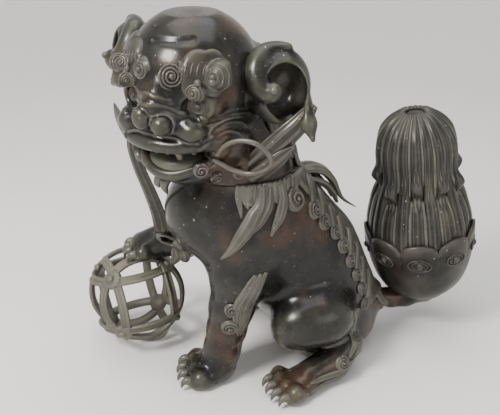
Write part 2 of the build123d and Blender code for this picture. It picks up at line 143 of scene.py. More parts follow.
def blob(centre, radii, axes=None):
    """Ellipsoid; axes are its three unit directions as rows."""
    centre = np.asarray(centre, np.float32)
    radii = np.asarray(radii, np.float32)
    axes = np.eye(3, dtype=np.float32) if axes is None else np.asarray(axes, np.float32)
    reach = np.sqrt(((axes * radii[:, None]) ** 2).sum(axis=0))

    def distance(x, y, z):
        dx, dy, dz = x - centre[0], y - centre[1], z - centre[2]
        inner = 0
        outer = 0
        for row, radius in zip(axes, radii):
            part = (dx * row[0] + dy * row[1] + dz * row[2]) / radius
            inner = inner + part ** 2
            outer = outer + (part / radius) ** 2
        inner = np.sqrt(inner)
        return inner * (inner - 1) / np.maximum(np.sqrt(outer), 1e-5)
    return centre - reach, centre + reach, distance


def head_axes(tilt=0.0, turn=0.0):
    """Unit rows left, forward, up of the head, turned about up and then tilted about left."""
    yaw = math.radians(HEAD_YAW + turn)
    left = np.array([math.cos(yaw), math.sin(yaw), 0])
    forward = np.array([math.sin(yaw), -math.cos(yaw), 0])
    up = np.array([0, 0, 1.0])
    lean = math.radians(tilt)
    return np.array([left, forward * math.cos(lean) + up * math.sin(lean),
                     up * math.cos(lean) - forward * math.sin(lean)])


class Clay:
    """A block of signed distances, negative inside, that shapes are added to and cut from."""
    FAR = 30.0

    def __init__(self, low, high, voxel):
        self.low = np.asarray(low, np.float32)
        self.voxel = voxel
        counts = np.ceil((np.asarray(high) - self.low) / voxel).astype(int) + 1
        self.field = np.full(counts, self.FAR, np.float32)
        self.pending = {}

    def window(self, low, high, margin):
        low = (np.asarray(low) - margin - self.low) / self.voxel
        high = (np.asarray(high) + margin - self.low) / self.voxel
        first = np.clip(np.floor(low).astype(int), 0, self.field.shape)
        last = np.clip(np.ceil(high).astype(int) + 1, 0, self.field.shape)
        slices = tuple(slice(a, b) for a, b in zip(first, last))
        axes = [self.low[i] + self.voxel * np.arange(first[i], last[i], dtype=np.float32) for i in range(3)]
        return slices, (axes[0][:, None, None], axes[1][None, :, None], axes[2][None, None, :])

    def add(self, shapes, blend=0.0, reach=6.0):
        """Joins shapes on, with a fillet about as wide as the blend."""
        for low, high, distance in shapes:
            slices, grid = self.window(low, high, blend + reach)
            here = self.field[slices]
            if here.size:
                self.field[slices] = soft_min(here, distance(*grid), blend)
        return self

    def cut(self, shapes, blend=0.0):
        for low, high, distance in shapes:
            slices, grid = self.window(low, high, blend + 6)
            here = self.field[slices]
            if here.size:
                self.field[slices] = -soft_min(-here, distance(*grid), blend)
        return self

    def keep(self, distance):
        """Cuts away everything outside a region given as a distance function."""
        _, grid = self.window(self.low, self.low + self.voxel * np.array(self.field.shape), 0)
        self.field = np.maximum(self.field, distance(*grid))
        return self

    def stroke(self, points, width, height):
        """Raises the surface (or sinks it, with a negative height) along a curve."""
        for start, end in zip(points, points[1:]):
            low, high, distance = bone((*start[:3], 0), (*end[:3], 0))
            slices, grid = self.window(low, high, 3 * width)
            here = self.field[slices]
            if here.size:
                swell = height * np.exp(-(distance(*grid) / width) ** 2)
                self.mark(slices, swell, height)
        self.settle()
        return self

    def mark(self, slices, swell, height):
        """Collects overlapping strokes, so that the joints of one stroke don't add up."""
        key = height > 0
        if key not in self.pending:
            self.pending[key] = np.zeros_like(self.field)
        layer = self.pending[key][slices]
        self.pending[key][slices] = np.maximum(layer, swell) if key else np.minimum(layer, swell)

    def settle(self):
        for layer in self.pending.values():
            self.field -= layer
        self.pending = {}

    def copy(self):
        twin = Clay(self.low, self.low, self.voxel)
        twin.field = self.field.copy()
        return twin

    def sample(self, points):
        """Distance at points, interpolated."""
        place = (np.asarray(points, float) - self.low) / self.voxel
        base = np.clip(np.floor(place).astype(int), 0, np.array(self.field.shape) - 2)
        part = np.clip(place - base, 0, 1)
        total = 0
        for corner in np.ndindex(2, 2, 2):
            weight = np.prod(np.where(np.array(corner) == 1, part, 1 - part), axis=-1)
            total = total + weight * self.field[tuple((base + corner).T)]
        return total

    def slope(self, points):
        """Outward unit normal of the field at points."""
        points = np.asarray(points, float)
        step = 1.2 * self.voxel
        normal = np.stack([self.sample(points + step * axis) - self.sample(points - step * axis)
                           for axis in np.eye(3)], axis=-1)
        return normal / np.maximum(np.linalg.norm(normal, axis=-1, keepdims=True), 1e-9)

    def land(self, points, heading, reach=60.0, step=1.0):
        """Moves points along a heading until they meet the surface."""
        points = np.array(points, float)
        heading = unit(heading)
        done = np.zeros(len(points), bool)
        for _ in range(int(reach / step)):
            done |= self.sample(points) <= 0
            points[~done] += heading * step
        for _ in range(3):
            points -= self.sample(points)[:, None] * self.slope(points)
        return points

    def mesh(self, name, keep):
        """Mesh of the surface, thinned out to a share of its faces."""
        grid = openvdb.FloatGrid(self.FAR)
        grid.copyFromArray(self.field)
        grid.transform = openvdb.createLinearTransform(voxelSize=self.voxel)
        points, quads = grid.convertToQuads(isovalue=0.0)
        piece = new_piece(name, points + self.low, quads[:, ::-1])
        thin_out(piece, keep)
        paint_hollows(piece.data)
        return piece


def skin_patch(skin, low, high, voxel, rise, region):
    """Clay for a thin raised patch on a surface, within a region given as shapes or a distance function."""
    patch = Clay(low, high, voxel)
    _, (x, y, z) = patch.window(patch.low, patch.low + voxel * np.array(patch.field.shape), 0)
    spread = np.stack(np.broadcast_arrays(x, y, z), axis=-1).reshape(-1, 3)
    grown = skin.sample(spread).reshape(patch.field.shape) - rise
    if callable(region):
        patch.field = np.broadcast_to(region(x, y, z), patch.field.shape)
    else:
        patch.add(region, 0.5)
    patch.field = (-soft_min(-patch.field, -grown, 1.5 * rise)).astype(np.float32)
    return patch


def soft_min(a, b, blend):
    if blend <= 0:
        return np.minimum(a, b)
    share = np.clip(0.5 + 0.5 * (a - b) / blend, 0, 1)
    return a * (1 - share) + b * share - blend * share * (1 - share)


# ---- meshes ---------------------------------------------------------------------------------
def add_object(name, data):
    """Object for a mesh, light or camera, in the scene."""
    made = bpy.data.objects.new(name, data)
    bpy.context.scene.collection.objects.link(made)
    return made


def new_piece(name, points, faces):
    """Mesh object from points in millimetres in the lion's axes."""
    points = (np.asarray(points, float) - (0, FRAME_Y, 0)) * MM
    mesh = bpy.data.meshes.new(name)
    faces = np.asarray(faces)
    sides = faces.shape[1]
    mesh.vertices.add(len(points))
    mesh.vertices.foreach_set("co", points.astype(np.float32).ravel())
    mesh.loops.add(faces.size)
    mesh.loops.foreach_set("vertex_index", faces.astype(np.int32).ravel())
    mesh.polygons.add(len(faces))
    mesh.polygons.foreach_set("loop_start", np.arange(0, faces.size, sides, dtype=np.int32))
    mesh.update(calc_edges=True)
    mesh.validate()
    mesh.shade_smooth()
    return add_object(name, mesh)


def thin_out(piece, keep):
    modifier = piece.modifiers.new("thin", "DECIMATE")
    modifier.ratio = keep
    graph = bpy.context.evaluated_depsgraph_get()
    thinned = bpy.data.meshes.new_from_object(piece.evaluated_get(graph))
    piece.modifiers.clear()
    piece.data = thinned
    thinned.shade_smooth()


HOLLOW_GAIN = 2.5
HOLLOW_SPREAD = 0.6


def paint_hollows(mesh, rounds=4):
    """Stores how hollow (above 0.5) or ridged (below 0.5) the surface is round each point."""
    count = len(mesh.vertices)
    points = np.empty(count * 3, np.float32)
    normals = np.empty(count * 3, np.float32)
    mesh.vertices.foreach_get("co", points)
    mesh.vertices.foreach_get("normal", normals)
    points = points.reshape(-1, 3)
    normals = normals.reshape(-1, 3)
    edges = np.empty(len(mesh.edges) * 2, np.int32)
    mesh.edges.foreach_get("vertices", edges)
    first, second = edges.reshape(-1, 2).T
    gap = points[second] - points[first]
    reach = np.maximum(np.linalg.norm(gap, axis=1), 1e-7)
    ahead = (gap * normals[first]).sum(axis=1) / reach
    back = (-gap * normals[second]).sum(axis=1) / reach
    degree = np.maximum(np.bincount(edges, minlength=count), 1)
    hollow = (np.bincount(first, ahead, count) + np.bincount(second, back, count)) / degree
    for _ in range(rounds):
        spread = np.bincount(first, hollow[second], count) + np.bincount(second, hollow[first], count)
        hollow = (1 - HOLLOW_SPREAD) * hollow + HOLLOW_SPREAD * spread / degree
    layer = mesh.attributes.new("hollow", "FLOAT", "POINT")
    layer.data.foreach_set("value", np.clip(0.5 + HOLLOW_GAIN * hollow, 0, 1).astype(np.float32))


class Parts:
    """Collects strands of hair, bands and beads into the points and faces of one mesh."""

    def __init__(self):
        self.points = []
        self.faces = []
        self.count = 0

    def put(self, points, faces):
        self.points.append(np.asarray(points, float))
        self.faces.append(np.asarray(faces) + self.count)
        self.count += len(points)

    def strand(self, path, across, radii, flat=0.6, ridges=0, depth=0.12, around=16, phase=0.0):
        """Swept lock: path points, a sideways direction at each, half widths, and grooves along it."""
        path = np.asarray(path, float)
        travel = np.gradient(path, axis=0)
        travel /= np.maximum(np.linalg.norm(travel, axis=1, keepdims=True), 1e-9)
        across = np.asarray(across, float)
        if across.ndim == 1:
            across = np.tile(across, (len(path), 1))
        across = across - travel * (across * travel).sum(axis=1, keepdims=True)
        across /= np.maximum(np.linalg.norm(across, axis=1, keepdims=True), 1e-9)
        upward = np.cross(travel, across)
        radii = np.asarray(radii, float)
        flats = np.broadcast_to(np.asarray(flat, float), radii.shape)
        angle = np.linspace(0, 2 * math.pi, around, endpoint=False) + phase
        shape = 1 - depth * (0.5 + 0.5 * np.cos(ridges * angle)) if ridges else np.ones(around)
        side = np.cos(angle) * shape
        rise = np.sin(angle) * shape
        rings = (path[:, None] + across[:, None] * (radii[:, None] * side)[..., None]
                 + upward[:, None] * ((radii * flats)[:, None] * rise)[..., None])
        points = np.vstack([rings.reshape(-1, 3), path[:1], path[-1:]])
        faces = []
        rows = len(path)
        turn = np.arange(around)
        after = (turn + 1) % around
        for row in range(rows - 1):
            low = row * around
            high = low + around
            faces.append(np.stack([low + turn, low + after, high + after, high + turn], axis=1))
        start = rows * around
        cap = np.stack([np.full(around, start), after, turn, turn], axis=1)
        last = (rows - 1) * around
        end = np.stack([np.full(around, start + 1), last + turn, last + after, last + after], axis=1)
        self.put(points, np.vstack([*faces, cap, end]))

    def piece(self, name):
        """Mesh object of all that was put in; a face whose last two corners are the same is a triangle."""
        points = (np.vstack(self.points) - (0, FRAME_Y, 0)) * MM
        faces = [face[:3] if face[2] == face[3] else face for face in np.vstack(self.faces).tolist()]
        mesh = bpy.data.meshes.new(name)
        mesh.from_pydata(points.tolist(), [], faces)
        mesh.update()
        mesh.shade_smooth()
        paint_hollows(mesh, rounds=1)
        return add_object(name, mesh)


# ---- body forms -----------------------------------------------------------------------------
def torso_shapes():
    """Neck, chest, back and rump, as round shapes to be blended."""
    return [
        bone((0, 2, 182, 41), (0, 3, 150, 46)),
        blob((0, -2, 138), (49, 58, 46)),
        blob((0, 22, 116), (48, 52, 50), lean_axes(20)),
        blob((0, 48, 84), (46, 52, 50), lean_axes(38)),
        blob((0, 68, 48), (45, 47, 52)),
        blob((0, 80, 22), (40, 42, 30)),
    ]


def lean_axes(degrees):
    lean = math.radians(degrees)
    return np.array([[1, 0, 0], [0, math.cos(lean), math.sin(lean)], [0, -math.sin(lean), math.cos(lean)]])


TORSO_BLEND = 14.0


def sided(joints, side):
    """The same joints on the left (side 1) or on the right (side -1)."""
    return [(side * joint[0], *joint[1:]) for joint in joints]


def above(height):
    """Region above a level, for Clay.keep."""
    return lambda x, y, z: height - z + 0 * (x + y)


def below(height):
    """Region below a level, for Clay.keep."""
    return lambda x, y, z: z - height + 0 * (x + y)


def paw_shapes(palm, palm_radii, toe_base, heading, spread, toe_radii, reach):
    """Palm pad, four toes with knuckles, to be blended."""
    shapes = [blob(palm, palm_radii)]
    heading = unit((*heading, 0))
    across = np.array([-heading[1], heading[0], 0])
    for index in range(4):
        place = index - 1.5
        root = np.array(toe_base) + across * place * spread - heading * abs(place) * 2.0
        tip = root + heading * reach
        knuckle = root + heading * reach * 0.45 + (0, 0, toe_radii * 0.42)
        shapes.append(bone((*root, toe_radii * 0.9), (*knuckle, toe_radii)))
        shapes.append(bone((*knuckle, toe_radii), (*tip, toe_radii * 0.82)))
    return shapes


def claw_parts(parts, toe_base, heading, spread, reach, size, drop):
    """Curved, pointed claws at the ends of the toes."""
    heading = unit((*heading, 0))
    across = np.array([-heading[1], heading[0], 0])
    for index in range(4):
        place = index - 1.5
        root = np.array(toe_base) + across * place * spread - heading * abs(place) * 2.0 + heading * reach
        path = [root + heading * size * step + np.array([0, 0, 1.0]) * (size * rise)
                for step, rise in ((-0.1, 0.28), (0.5, 0.34), (0.95, 0.02), (1.2, -drop))]
        path = smooth(path, 4)
        radii = size * np.array([0.62 - 0.55 * (i / (len(path) - 1)) ** 1.5 for i in range(len(path))])
        parts.strand(path, across, radii, flat=1.1, around=12)


def join_limb(body, shapes, blend, fillet):
    """Joins a limb to the body with a fillet of its own."""
    limb = body.copy()
    limb.field[:] = 2 * fillet
    limb.add(shapes, blend, fillet)
    body.field = soft_min(body.field, limb.field, fillet)


def hind_shapes(side):
    thigh = [blob((side * 44, 52, 54), (27, 31, 25), lean_axes(-6)),
             blob((side * 48, 32, 50), (20, 20, 20))]
    foot = chain(sided([(50, 77, 24, 13), (57, 60, 14, 13), (64, 40, 12, 12)], side))
    foot += paw_shapes((side * 67, 31, 9), (15, 15, 11), (side * 68, 20, 7.5), (side * 0.2, -1), 9.0, 6.2, 8)
    return thigh, foot


def foreleg_shapes():
    left = chain([(27, -6, 122, 26), (31, -10, 92, 22), (31, -16, 66, 17.5), (30, -20, 46, 15.5),
                  (30, -24, 28, 14.5), (30, -27, 15, 15)])
    left += paw_shapes((30, -34, 10), (17.5, 17, 12.5), (29, -43, 7.5), (-0.12, -1), 9.8, 6.4, 9)
    right = chain([(-26, -10, 124, 27), (-34, -28, 104, 21), (-38, -46, 97, 15), (-41, -60, 95, 13)])
    right += paw_shapes((-41, -68, 92), (15.5, 17, 12), (-41, -76, 89), (-0.05, -1), 8.2, 5.0, 6)
    return left, right


def body_clay():
    """The whole body as one skin: torso, four legs and the root of the tail."""
    clay = Clay((-88, -98, -3), (88, 136, 182), 1.05)
    clay.add(torso_shapes(), TORSO_BLEND)
    for shapes in foreleg_shapes():
        join_limb(clay, shapes, 5, 15)
    for side in (1, -1):
        thigh, foot = hind_shapes(side)
        join_limb(clay, thigh, 10, 13)
        join_limb(clay, foot, 4, 7)
    join_limb(clay, chain([(0, 96, 44, 22), (0, 114, 37, 12), (0, 129, 31, 8.6), (0, 140, 27, 8)]), 5, 16)
    return clay


# ---- materials ------------------------------------------------------------------------------
def node(tree, kind, **values):
    made = tree.nodes.new(kind)
    for key, value in values.items():
        if hasattr(made, key) and key not in made.inputs:
            setattr(made, key, value)
        else:
            made.inputs[key.replace("_", " ")].default_value = value
    return made


def noise(tree, place, scale, detail=4.0, rough=0.55):
    made = node(tree, "ShaderNodeTexNoise", Scale=scale, Detail=detail, Roughness=rough)
    tree.links.new(place.outputs["Object"], made.inputs["Vector"])
    return made.outputs["Fac"]


def ramp(tree, source, low, high, start=0.0, end=1.0):
    made = tree.nodes.new("ShaderNodeMapRange")
    made.interpolation_type = "SMOOTHSTEP"
    tree.links.new(source, made.inputs["Value"])
    for key, value in (("From Min", low), ("From Max", high), ("To Min", start), ("To Max", end)):
        made.inputs[key].default_value = value
    return made.outputs["Result"]


def mix(tree, share, first, second):
    made = tree.nodes.new("ShaderNodeMix")
    made.data_type = "RGBA"
    for name, value in (("Factor", share), ("A", first), ("B", second)):
        socket = made.inputs[name]
        if isinstance(value, bpy.types.NodeSocket):
            tree.links.new(value, socket)
        elif isinstance(value, tuple):
            socket.default_value = (*value, 1)
        else:
            socket.default_value = value
    return made.outputs["Result"]


def times(tree, first, second, operation="MULTIPLY"):
    made = tree.nodes.new("ShaderNodeMath")
    made.operation = operation
    made.use_clamp = True
    for socket, value in zip(made.inputs, (first, second)):
        if isinstance(value, bpy.types.NodeSocket):
            tree.links.new(value, socket)
        else:
            socket.default_value = value
    return made.outputs["Value"]


def hollow_share(tree, carved):
    """How hollow the surface is; a piece from CAD has no such attribute and counts as flat."""
    if carved:
        return node(tree, "ShaderNodeAttribute", attribute_name="hollow").outputs["Fac"]
    flat = node(tree, "ShaderNodeValue").outputs["Value"]
    flat.default_value = 0.5
    return flat


def bronze_colour(tree, place, hollow, depth, base, rust, green, rust_share, rub, film):
    """Mottled metal, rust clouds, dust in the hollows, a thin veil of it all over, rubbed ridges, specks."""
    mottle = ramp(tree, noise(tree, place, 90.0, 6.0, 0.65), 0.35, 0.7, 0.0, 0.6)
    colour = mix(tree, mottle, base, tuple(2.1 * channel for channel in base))
    clouds = ramp(tree, noise(tree, place, 17.0, 3.0), 0.50, 0.66)
    colour = mix(tree, times(tree, clouds, 0.55 * rust_share), colour, rust)
    dust = ramp(tree, noise(tree, place, 60.0, 5.0, 0.6), 0.3, 0.7, 0.45, 1.0)
    colour = mix(tree, times(tree, depth, dust), colour, green)
    veil = times(tree, ramp(tree, noise(tree, place, 34.0, 5.0), 0.42, 0.72), film)
    colour = mix(tree, veil, colour, green)
    ridge = times(tree, ramp(tree, hollow, 0.47, 0.28), 0.5 * rub)
    colour = mix(tree, ridge, colour, RUBBED)
    specks = ramp(tree, noise(tree, place, 520.0, 2.0, 0.4), 0.735, 0.765, 0.0, 0.75)
    return mix(tree, specks, colour, SPECK)


def bronze(name, base, rust, green, green_share, gloss, rust_share=1.0, rub=1.0, coat=0.0, film=0.5,
           carved=True):
    """Dark bronze with its patina, and fine pitting."""
    material = bpy.data.materials.new(name)
    material.use_nodes = True
    tree = material.node_tree
    shader = tree.nodes["Principled BSDF"]
    place = tree.nodes.new("ShaderNodeTexCoord")
    hollow = hollow_share(tree, carved)
    depth = times(tree, ramp(tree, hollow, 0.50, 0.72), green_share)
    colour = bronze_colour(tree, place, hollow, depth, base, rust, green, rust_share, rub, film)
    tree.links.new(colour, shader.inputs["Base Color"])
    for socket, value in (("Metallic", 0.35), ("Specular IOR Level", 0.14), ("Coat Weight", coat),
                          ("Coat Roughness", 0.17)):
        shader.inputs[socket].default_value = value
    worn = ramp(tree, noise(tree, place, 45.0, 5.0, 0.6), 0.3, 0.75, gloss - 0.07, gloss + 0.14)
    rough = times(tree, worn, times(tree, depth, 0.3), "ADD")
    tree.links.new(rough, shader.inputs["Roughness"])
    bump = node(tree, "ShaderNodeBump", Strength=0.16, Distance=0.0004)
    pits = times(tree, noise(tree, place, 380.0, 4.0, 0.6), noise(tree, place, 1400.0, 2.0))
    tree.links.new(pits, bump.inputs["Height"])
    tree.links.new(bump.outputs["Normal"], shader.inputs["Normal"])
    return material


DARK = (0.0135, 0.013, 0.0125)
RUST = (0.075, 0.036, 0.020)
GREEN = (0.150, 0.155, 0.115)
OLIVE = (0.115, 0.118, 0.085)
RUBBED = (0.19, 0.175, 0.15)
SPECK = (0.42, 0.42, 0.38)


def make_materials():
    """The finishes, each from its metal, its hollows' colour, their share, and the gloss."""
    finishes = {
        "bronze": dict(base=DARK, green=OLIVE, green_share=0.7, gloss=0.22, coat=0.25, film=0.08),
        "bronze_relief": dict(base=(0.050, 0.050, 0.042), green=GREEN, green_share=1.0, gloss=0.38,
                              rust_share=0.3, rub=0.7, coat=0.15, film=0.25),
        "ball_bronze": dict(base=(0.065, 0.064, 0.054), green=(0.24, 0.225, 0.15), green_share=1.0,
                            gloss=0.45, rust_share=0.2),
        "tail_bronze": dict(base=(0.018, 0.018, 0.016), green=(0.16, 0.16, 0.13), green_share=1.0,
                            gloss=0.36, rust_share=0.3, rub=0.4, coat=0.1, film=0.2),
        "eye_bronze": dict(base=(0.012, 0.011, 0.010), green=OLIVE, green_share=0.4, gloss=0.35,
                           rust_share=0.5, rub=0.5),
        "bronze_dull": dict(base=(0.028, 0.027, 0.023), green=(0.10, 0.10, 0.075), green_share=0.8,
                            gloss=0.3, rust_share=0.5, rub=0.8, coat=0.2, film=0.15),
        "bare_bronze": dict(base=DARK, green=OLIVE, green_share=0.7, gloss=0.4, carved=False),
        "cup_copper": dict(base=(0.10, 0.055, 0.035), green=GREEN, green_share=0.4, gloss=0.45,
                           carved=False),
    }
    return {name: bronze(name, rust=RUST, **finish) for name, finish in finishes.items()}


MATERIALS = make_materials()


def plain_material(name, colour, roughness):
    material = bpy.data.materials.new(name)
    material.use_nodes = True
    shader = material.node_tree.nodes["Principled BSDF"]
    shader.inputs["Base Color"].default_value = (*colour, 1)
    shader.inputs["Roughness"].default_value = roughness
    return material


# ---- camera, paper and lamps ----------------------------------------------------------------
def point_camera():
    azimuth = math.radians(VIEW_AZIMUTH)
    elevation = math.radians(VIEW_ELEVATION)
    look = Vector((-math.sin(azimuth) * math.cos(elevation), math.cos(azimuth) * math.cos(elevation),
                   -math.sin(elevation)))
    target = Vector(VIEW_TARGET) - Vector((0, FRAME_Y, 0))
    data = bpy.data.cameras.new("camera")
    data.lens = LENS
    data.clip_start = 0.01
    data.clip_end = 20
    camera = add_object("camera", data)
    camera.location = (target - look * VIEW_DISTANCE) * MM
    camera.rotation_euler = look.to_track_quat("-Z", "Y").to_euler()
    bpy.context.scene.camera = camera


def add_floor():
    """Pale paper that runs flat under the lion and rises far behind it on every side."""
    sides = 48
    points = []
    faces = []
    for radius, height in PAPER_RINGS:
        for turn in range(sides):
            angle = 2 * math.pi * turn / sides
            points.append((radius * math.cos(angle), radius * math.sin(angle), height))
    for low in range(0, (len(PAPER_RINGS) - 1) * sides, sides):
        for turn in range(sides):
            after = (turn + 1) % sides
            faces.append((low + turn, low + after, low + sides + after, low + sides + turn))
    mesh = bpy.data.meshes.new("floor")
    mesh.from_pydata(points, [], faces)
    mesh.shade_smooth()
    mesh.materials.append(plain_material("paper", PAPER, PAPER_ROUGHNESS))
    add_object("floor", mesh)


def add_light(name, place, size, power, colour):
    data = bpy.data.lights.new(name, "AREA")
    data.shape = "RECTANGLE"
    data.size, data.size_y = size
    data.energy = power
    data.color = colour
    light = add_object(name, data)
    light.location = place
    light.rotation_euler = (Vector(LIGHT_TARGET) - Vector(place)).to_track_quat("-Z", "Y").to_euler()


def set_lights():
    world = bpy.data.worlds.new("studio")
    world.use_nodes = True
    background = world.node_tree.nodes["Background"]
    background.inputs["Color"].default_value = (*SKY, 1)
    background.inputs["Strength"].default_value = SKY_STRENGTH
    bpy.context.scene.world = world
    for name, lamp in LAMPS.items():
        add_light(name, *lamp)


# ---- curls and locks ------------------------------------------------------------------------
def sideways(normal, toward):
    """Unit direction across a normal that leans towards a given direction."""
    normal = unit(normal)
    toward = np.asarray(toward, float)
    return unit(toward - normal * np.dot(toward, normal))


def dome(parts, centre, normal, radius, height, sunk=1.5, around=16):
    """Low round boss on a surface."""
    turn = np.linspace(0, math.pi / 2, 6)[:-1]
    lifts = np.concatenate([[-sunk], height * np.sin(turn), [height]])
    radii = np.concatenate([[radius], radius * np.cos(turn), [0.05 * radius]])
    path = np.asarray(centre) + np.outer(lifts, unit(normal))
    parts.strand(path, sideways(normal, (0.1, 0.2, 1)), radii, flat=1, around=around)


def curl(parts, centre, normal, start, radius, height, turns=1.9, hand=1, tube=0.17):
    """Boss wound round with a spiral rope that ends in a bead."""
    centre = np.asarray(centre, float)
    normal = unit(normal)
    first = sideways(normal, start)
    second = hand * np.cross(normal, first)
    dome(parts, centre, normal, radius, 0.72 * height)
    share = np.linspace(0, 1, int(turns * 15))
    angle = share * turns * 2 * math.pi
    reach = radius * (0.93 - 0.68 * share)
    rise = height * np.sqrt(np.clip(1 - (reach / (1.15 * radius)) ** 2, 0, 1)) * 0.9
    path = (centre + np.outer(reach * np.cos(angle), first) + np.outer(reach * np.sin(angle), second)
            + np.outer(rise, normal))
    parts.strand(path, normal, radius * tube * (1 - 0.3 * share), flat=1, around=8)
    bead = centre + normal * 0.72 * height
    dome(parts, bead, normal, 0.2 * radius, 0.26 * radius + 0.2 * height, around=10)


def tapered(count, width, start=0.6, tip=0.12, peak=0.35):
    """Half widths along a lock that swells to a peak and then narrows to its tip."""
    share = np.linspace(0, 1, count)
    rising = start + (1 - start) * np.sin(np.clip(share / peak, 0, 1) * math.pi / 2)
    falling = tip + (1 - tip) * np.cos(np.clip((share - peak) / (1 - peak), 0, 1) * math.pi / 2)
    return width * np.where(share < peak, rising, falling)


def lay_lock(parts, clay, points, heading, width, thick=0.5, grooves=8, lift=0.2, steps=7, **taper):
    """Grooved lock of hair laid along a surface, from control points that fly in along a heading."""
    path = clay.land(smooth(points, steps), heading)
    normals = clay.slope(path)
    radii = tapered(len(path), width, **taper)
    path = path + normals * (radii * thick * lift)[:, None]
    across = np.cross(np.gradient(path, axis=0), normals)
    parts.strand(path, across, radii, flat=thick, ridges=grooves, depth=0.16, around=4 * grooves)
    return path, normals


def free_lock(parts, points, across, width, thick=0.5, grooves=8, steps=7, **taper):
    """Grooved lock of hair that stands free, its joints at given points."""
    path = smooth(points, steps)
    radii = tapered(len(path), width, **taper)
    parts.strand(path, across, radii, flat=thick, ridges=grooves, depth=0.16, around=4 * grooves)


def lay_curl(parts, clay, point, heading, start, radius, height, **shape):
    centre = clay.land([point], heading)
    normal = clay.slope(centre)[0]
    curl(parts, centre[0] + 0.2 * normal, normal, start, radius, height, **shape)


# ---- head forms -----------------------------------------------------------------------------
def head_blob(centre, radii, tilt=0.0, turn=0.0):
    return blob(in_head(centre), radii, head_axes(tilt, turn))


def head_chain(joints):
    return chain([in_head(joint) for joint in joints])


def head_way(direction):
    """Direction in the head's axes (left, forward, up), turned to the lion's axes."""
    return in_head(direction) - HEAD_CENTRE


def skull_shapes():
    return [head_blob((-1, 0, 12), (49, 50, 49.5)), bone((1, -16, 208, 42), (0, 1, 172, 41))]


def muzzle_shapes():
    return [head_blob((1, 29, -10), (33, 24, 16)), head_blob((2, 36, 2), (16, 18, 13), 20)]


# Joints of the lips as left, forward, up from the middle of the head, and radius.
LIP = [(-41, 28, -25, 3.0), (-32, 39, -24, 3.5), (-17, 48, -23, 4.2), (1, 51, -23, 4.6),
       (18, 47, -23, 4.2), (31, 39, -22, 3.6), (38, 30, -23, 2.8)]
UNDER_LIP = [(-24, 30, -37, 2.6), (-17, 38, -43, 3.0), (-4, 43, -47, 3.2), (9, 42, -47.5, 3.2),
             (20, 36, -44, 3.0), (30, 28, -38, 2.6)]
JAW_FORM = ((3, 19, -47), (29, 24, 14))
EYES = [(30, 38, 5), (-20, 40, 6)]


def head_clay():
    clay = Clay((-62, -104, 168), (78, 50, 292), 0.95)
    clay.add(skull_shapes(), 10)
    clay.add(muzzle_shapes(), 9)
    clay.add([head_blob((36, 12, -24), (13, 22, 18)), head_blob((-36, 12, -24), (13, 22, 18))], 9)
    clay.add([head_blob(JAW_FORM[0], JAW_FORM[1])], 6)
    clay.add([head_blob((29, 30, 5), (12, 12, 10)), head_blob((-21, 32, 6), (12, 12, 10))], 7)
    return clay


FACE_MIDDLE = 4.0


def drawn(joints, clay, heading=(0, -1, 0), steps=6):
    """A curve given in the head's axes, laid on the head's surface."""
    start = np.array([in_head(joint) for joint in smooth(joints, steps)]) - head_way(heading) * 14
    return clay.land(start, head_way(heading), 40)


def shape_face(clay):
    """Nose, lips, whisker pads, eye sockets and the wrinkles of the cheeks and forehead."""
    clay.add([head_blob((-24, 43, -12), (10, 9.5, 8.5)), head_blob((25, 41, -12), (11, 9.5, 8.5))], 4)
    clay.add(head_chain([(3, 44, 16, 7), (2, 50, 5, 7.5)]), 6)
    clay.add(head_chain(smooth(LIP, 4)), 3)
    clay.cut([head_blob((2, 43, -35), (27, 22, 7.5)), head_blob((3, 28, -37), (22, 18, 8))], 2)
    clay.add(head_chain(smooth(UNDER_LIP, 4)), 3)
    clay.add([head_blob((-4.5, 54, -4), (8, 8, 9.2), -20), head_blob((10, 53.5, -7), (7.6, 7.6, 7.4))], 0.8)
    for left, forward, up in EYES:
        clay.cut([head_blob((left, forward + 4, up), (9.5, 7, 7))], 3)
    for low, high in ((-23.5, -14), (-18, -9), (-6, -4)):
        fold = [(33, 34, low), (39, 31, 0.3 * low + 0.7 * high), (43, 24, high), (47, 15, high - 2),
                (50, 6, high - 8)]
        for joints in (fold, [(2 * FACE_MIDDLE - left, forward, up) for left, forward, up in fold]):
            clay.stroke(drawn(joints, clay), 1.3, 1.2)
    for joints in ([(-9, 47, 12), (-1, 50, 13.5), (6, 49.5, 12), (14, 46, 10)],
                   [(-12, 48, 6), (-1, 51, 6.5), (6, 50.5, 7.5), (13, 48, 6), (21, 44, 1), (29, 42, 0),
                    (35, 40, -4)]):
        clay.stroke(drawn(joints, clay), 1.5, 1.6)
    clay.stroke(drawn([(-6, 36, 43), (2, 35, 43), (10, 33, 43), (20, 27, 44)], clay, (0, -1, -1)), 2.5, -1.3)


EAR_CENTRES = {1: (62.0, -12.0, 12.0), -1: (-66.0, -8.0, 18.0)}
EAR_TIPS = {1: ((17, -14, -1, 7), (21, -27, 0, 5), (24, -38, 0, 1.8)),
            -1: ((10, -14, -1, 7), (12, -26, -2, 3))}
EAR_AXES = np.array([[0.857, -0.515, 0.0], [-0.226, -0.376, 0.899], [0.463, 0.77, 0.438]])


def by_ear(point, side):
    """From across, up and out of the ear's opening to the lion's axes."""
    place = EAR_CENTRES[side] + np.asarray(point[:3], float) @ (EAR_AXES * (side, 1, 1))
    return np.array([*in_head(place), *point[3:]])


def ear_blob(centre, radii, side):
    flip = np.array([side, 1, 1])
    axes = np.array([head_way(row * flip) for row in EAR_AXES])
    return blob(by_ear(centre, side), radii, axes)


# ---- pieces ---------------------------------------------------------------------------------
# Bores that leave room for the incense cup, in the head and in the body.
HEAD_BORE = bone((0, NECK_Y, 150, 35.5), (0, NECK_Y, 168, 35.5))
BODY_BORE = bone((0, NECK_Y, 150, 36), (0, NECK_Y, 200, 36))


